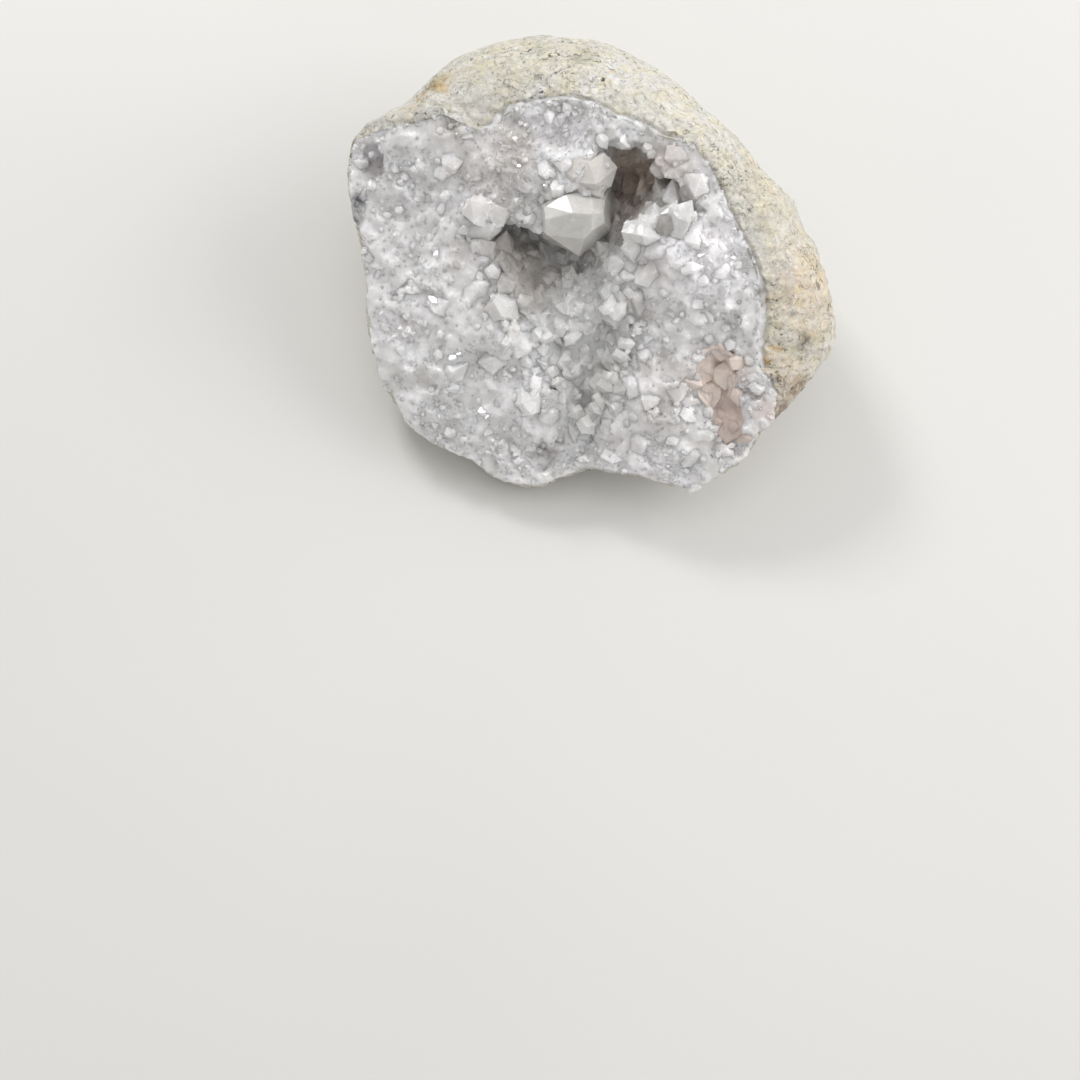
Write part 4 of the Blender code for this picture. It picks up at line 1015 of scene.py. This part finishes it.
# Faces of the large crystal, each through three places (u, v, w) in millimetres; the first mirrors the light
CALCITE_FACES = [
    ((-4.2, 10.0, 9.3), (-9.4, 11.4, 7.3), (-6.6, 13.4, 7.2)),
    ((-9.8, 9.4, 8.4), (-0.4, 9.8, 9.4), (-6.6, 5.2, 5.4)),
    ((-4.2, 10.0, 9.3), (-9.4, 11.4, 7.3), (-9.8, 9.4, 7.7)),
    ((-4.2, 10.0, 9.3), (-0.4, 9.8, 9.4), (-2.6, 14.2, 7.05)),
    ((-0.4, 9.8, 9.4), (-0.4, 6.8, 7.1), (2.2, 8.0, 5.0)),
    ((-0.4, 9.8, 9.4), (-0.4, 13.2, 7.56), (2.2, 12.6, 5.2)),
    ((-9.6, 5.6, 5.5), (-2.0, 4.8, 5.4), (-4.8, 2.8, -0.4)),
    ((-9.8, 9.4, 7.7), (-9.6, 5.6, 5.5), (-10.4, 8.0, 0.0)),
    ((-9.8, 5.8, 5.4), (-4.8, 2.8, 1.0), (-8.6, 4.6, 0.0)),
    ((-9.4, 11.4, 7.3), (-6.6, 13.4, 7.2), (-8.4, 13.8, 0.0)),
    ((-6.6, 13.4, 7.2), (-2.6, 14.2, 7.05), (-4.0, 15.6, 0.0)),
    ((-2.6, 14.2, 7.05), (2.2, 12.6, 5.2), (1.2, 15.2, 0.0)),
    ((2.2, 12.6, 5.2), (2.2, 8.0, 5.0), (3.0, 10.0, 0.0)),
    ((2.2, 8.0, 5.0), (-2.0, 4.8, 5.4), (0.8, 5.4, 0.0)),
    ((-9.0, 5.0, -4.0), (1.0, 5.0, -4.0), (-4.0, 14.0, -4.0)),
]
CALCITE_MIDDLE = (-4.0, 9.0, 2.0)


def face_plane(corners):
    """A place on a face of the large crystal and the face's outward normal."""
    a, b, c = [at_plane(*corner) for corner in corners]
    normal = unit(np.cross(b - a, c - a))
    if normal @ (a - at_plane(*CALCITE_MIDDLE)) < 0:
        normal = -normal
    return (a + b + c) / 3, normal


def lit_facet_light(distance):
    """Where a light has to stand so that the crystal's top facet mirrors it to the eye."""
    middle, normal = face_plane(CALCITE_FACES[0])
    sight = unit(middle - EYE)
    return middle + (sight - 2 * (sight @ normal) * normal) * distance


def calcite_piece(material):
    """One large crystal, cut from a block along its faces, with its edges a little worn."""
    body = bmesh.new()
    bmesh.ops.create_cube(body, size=40 * MM)
    bmesh.ops.translate(body, verts=body.verts, vec=at_plane(*CALCITE_MIDDLE))
    for corners in CALCITE_FACES:
        middle, normal = face_plane(corners)
        everything = body.verts[:] + body.edges[:] + body.faces[:]
        cut = bmesh.ops.bisect_plane(body, geom=everything, plane_co=middle, plane_no=normal,
                                     clear_outer=True)
        rim = [part for part in cut["geom_cut"] if isinstance(part, bmesh.types.BMEdge)]
        bmesh.ops.contextual_create(body, geom=rim)
    bmesh.ops.recalc_face_normals(body, faces=body.faces)
    made = made_object("calcite", np.zeros((1, 3)), [])
    body.to_mesh(made.data)
    body.free()
    soften = made.modifiers.new("soften", "BEVEL")
    soften.width = 0.12 * MM
    soften.segments = 1
    take_evaluated(made)
    finish_piece(made, material, "calcite", "calcite_crystal")


# Low lumps in the side pocket: (u, v, radius, lean right, lean up, height to radius), in millimetres
LUMPS = [
    (26.4, -22.6, 2.8, 0.2, -0.2, 0.5), (21.8, -20.6, 3.6, -0.2, 0.1, 0.3),
    (22.6, -26.2, 3.2, -0.2, 0.0, 0.35), (27.6, -31.6, 4.6, 0.1, -0.1, 0.25),
    (26.0, -26.8, 2.4, 0.1, 0.0, 0.4), (29.6, -26.6, 2.2, 0.3, 0.0, 0.45),
    (25.0, -17.2, 2.4, 0.0, 0.3, 0.4), (29.2, -19.6, 2.0, 0.3, 0.2, 0.5), (30.2, -23.0, 1.8, 0.4, 0.0, 0.5),
    (23.8, -32.4, 2.8, -0.2, -0.1, 0.3), (30.2, -34.4, 2.2, 0.1, -0.1, 0.25),
    (18.8, -23.6, 2.6, -0.4, 0.0, 0.3), (27.7, -18.4, 2.2, 0.1, 0.1, 0.5),
    (28.3, -21.8, 2.2, 0.2, 0.0, 0.5),
]


def lumps_piece(material):
    """The pocket's peach lining, and the lumps on it."""
    lining = remade(joined("peach_lining", [swollen("chalcedony_lumps", 0.3 * MM)]), LINING_VOXEL)
    lining.data.shade_smooth()
    finish_piece(lining, material, "peach_chalcedony", "chalcedony_lumps")
    block_piece("peach_lumps", LUMPS, 0.9, material, "peach_chalcedony")


# Surroundings

def add_floor():
    bpy.ops.mesh.primitive_plane_add(size=6, location=(0, 0, -0.05 * MM))
    floor = bpy.context.object
    floor.name = "floor"
    floor.data.materials.append(floor_material())


def add_light(name, place, size, power):
    """A square light of a size in metres and a power in watts that faces the middle of the part."""
    data = bpy.data.lights.new(name, "AREA")
    data.size = size
    data.energy = power
    made = bpy.data.objects.new(name, data)
    made.location = place
    made.rotation_euler = (Vector(PART_MIDDLE) - Vector(place)).to_track_quat("-Z", "Y").to_euler()
    bpy.context.collection.objects.link(made)


def add_lights():
    add_light("key", lit_facet_light(KEY_DISTANCE), 0.16, 1.5)
    add_light("fill", (0.62, 0.05, 0.42), 0.6, 3.0)
    add_light("top", (0.05, 0.12, 0.85), 0.3, 0.5)


def add_world():
    world = bpy.data.worlds.new("studio")
    world.use_nodes = True
    background = world.node_tree.nodes["Background"]
    background.inputs["Color"].default_value = (1.0, 0.995, 0.985, 1)
    background.inputs["Strength"].default_value = 0.61
    bpy.context.scene.world = world


def add_camera():
    data = bpy.data.cameras.new("camera")
    data.lens = LENS
    data.sensor_width = SENSOR
    data.clip_start = 10 * MM
    made = bpy.data.objects.new("camera", data)
    made.location = EYE
    made.rotation_euler = Vector(-TOWARDS).to_track_quat("-Z", "Y").to_euler()
    bpy.context.collection.objects.link(made)
    bpy.context.scene.camera = made


def main():
    milky = milky_material()
    rind_piece(rind_material())
    wall = wall_piece(milky)
    crystals_piece(milky)
    glints_piece(glint_material())
    grains_piece(wall, milky)
    crust_piece(clear_material())
    block_piece("clear_points", CLEAR_BLOCKS, 0.8, glass_material(), "clear_quartz")
    block_piece("smoky_lobe", SMOKY_BLOCKS, 0.8, smoky_material(), "milky_quartz")
    calcite_piece(calcite_material())
    lumps_piece(peach_material())
    add_floor()
    add_world()
    add_lights()
    bpy.context.scene.view_settings.view_transform = "Standard"
    add_camera()


main()
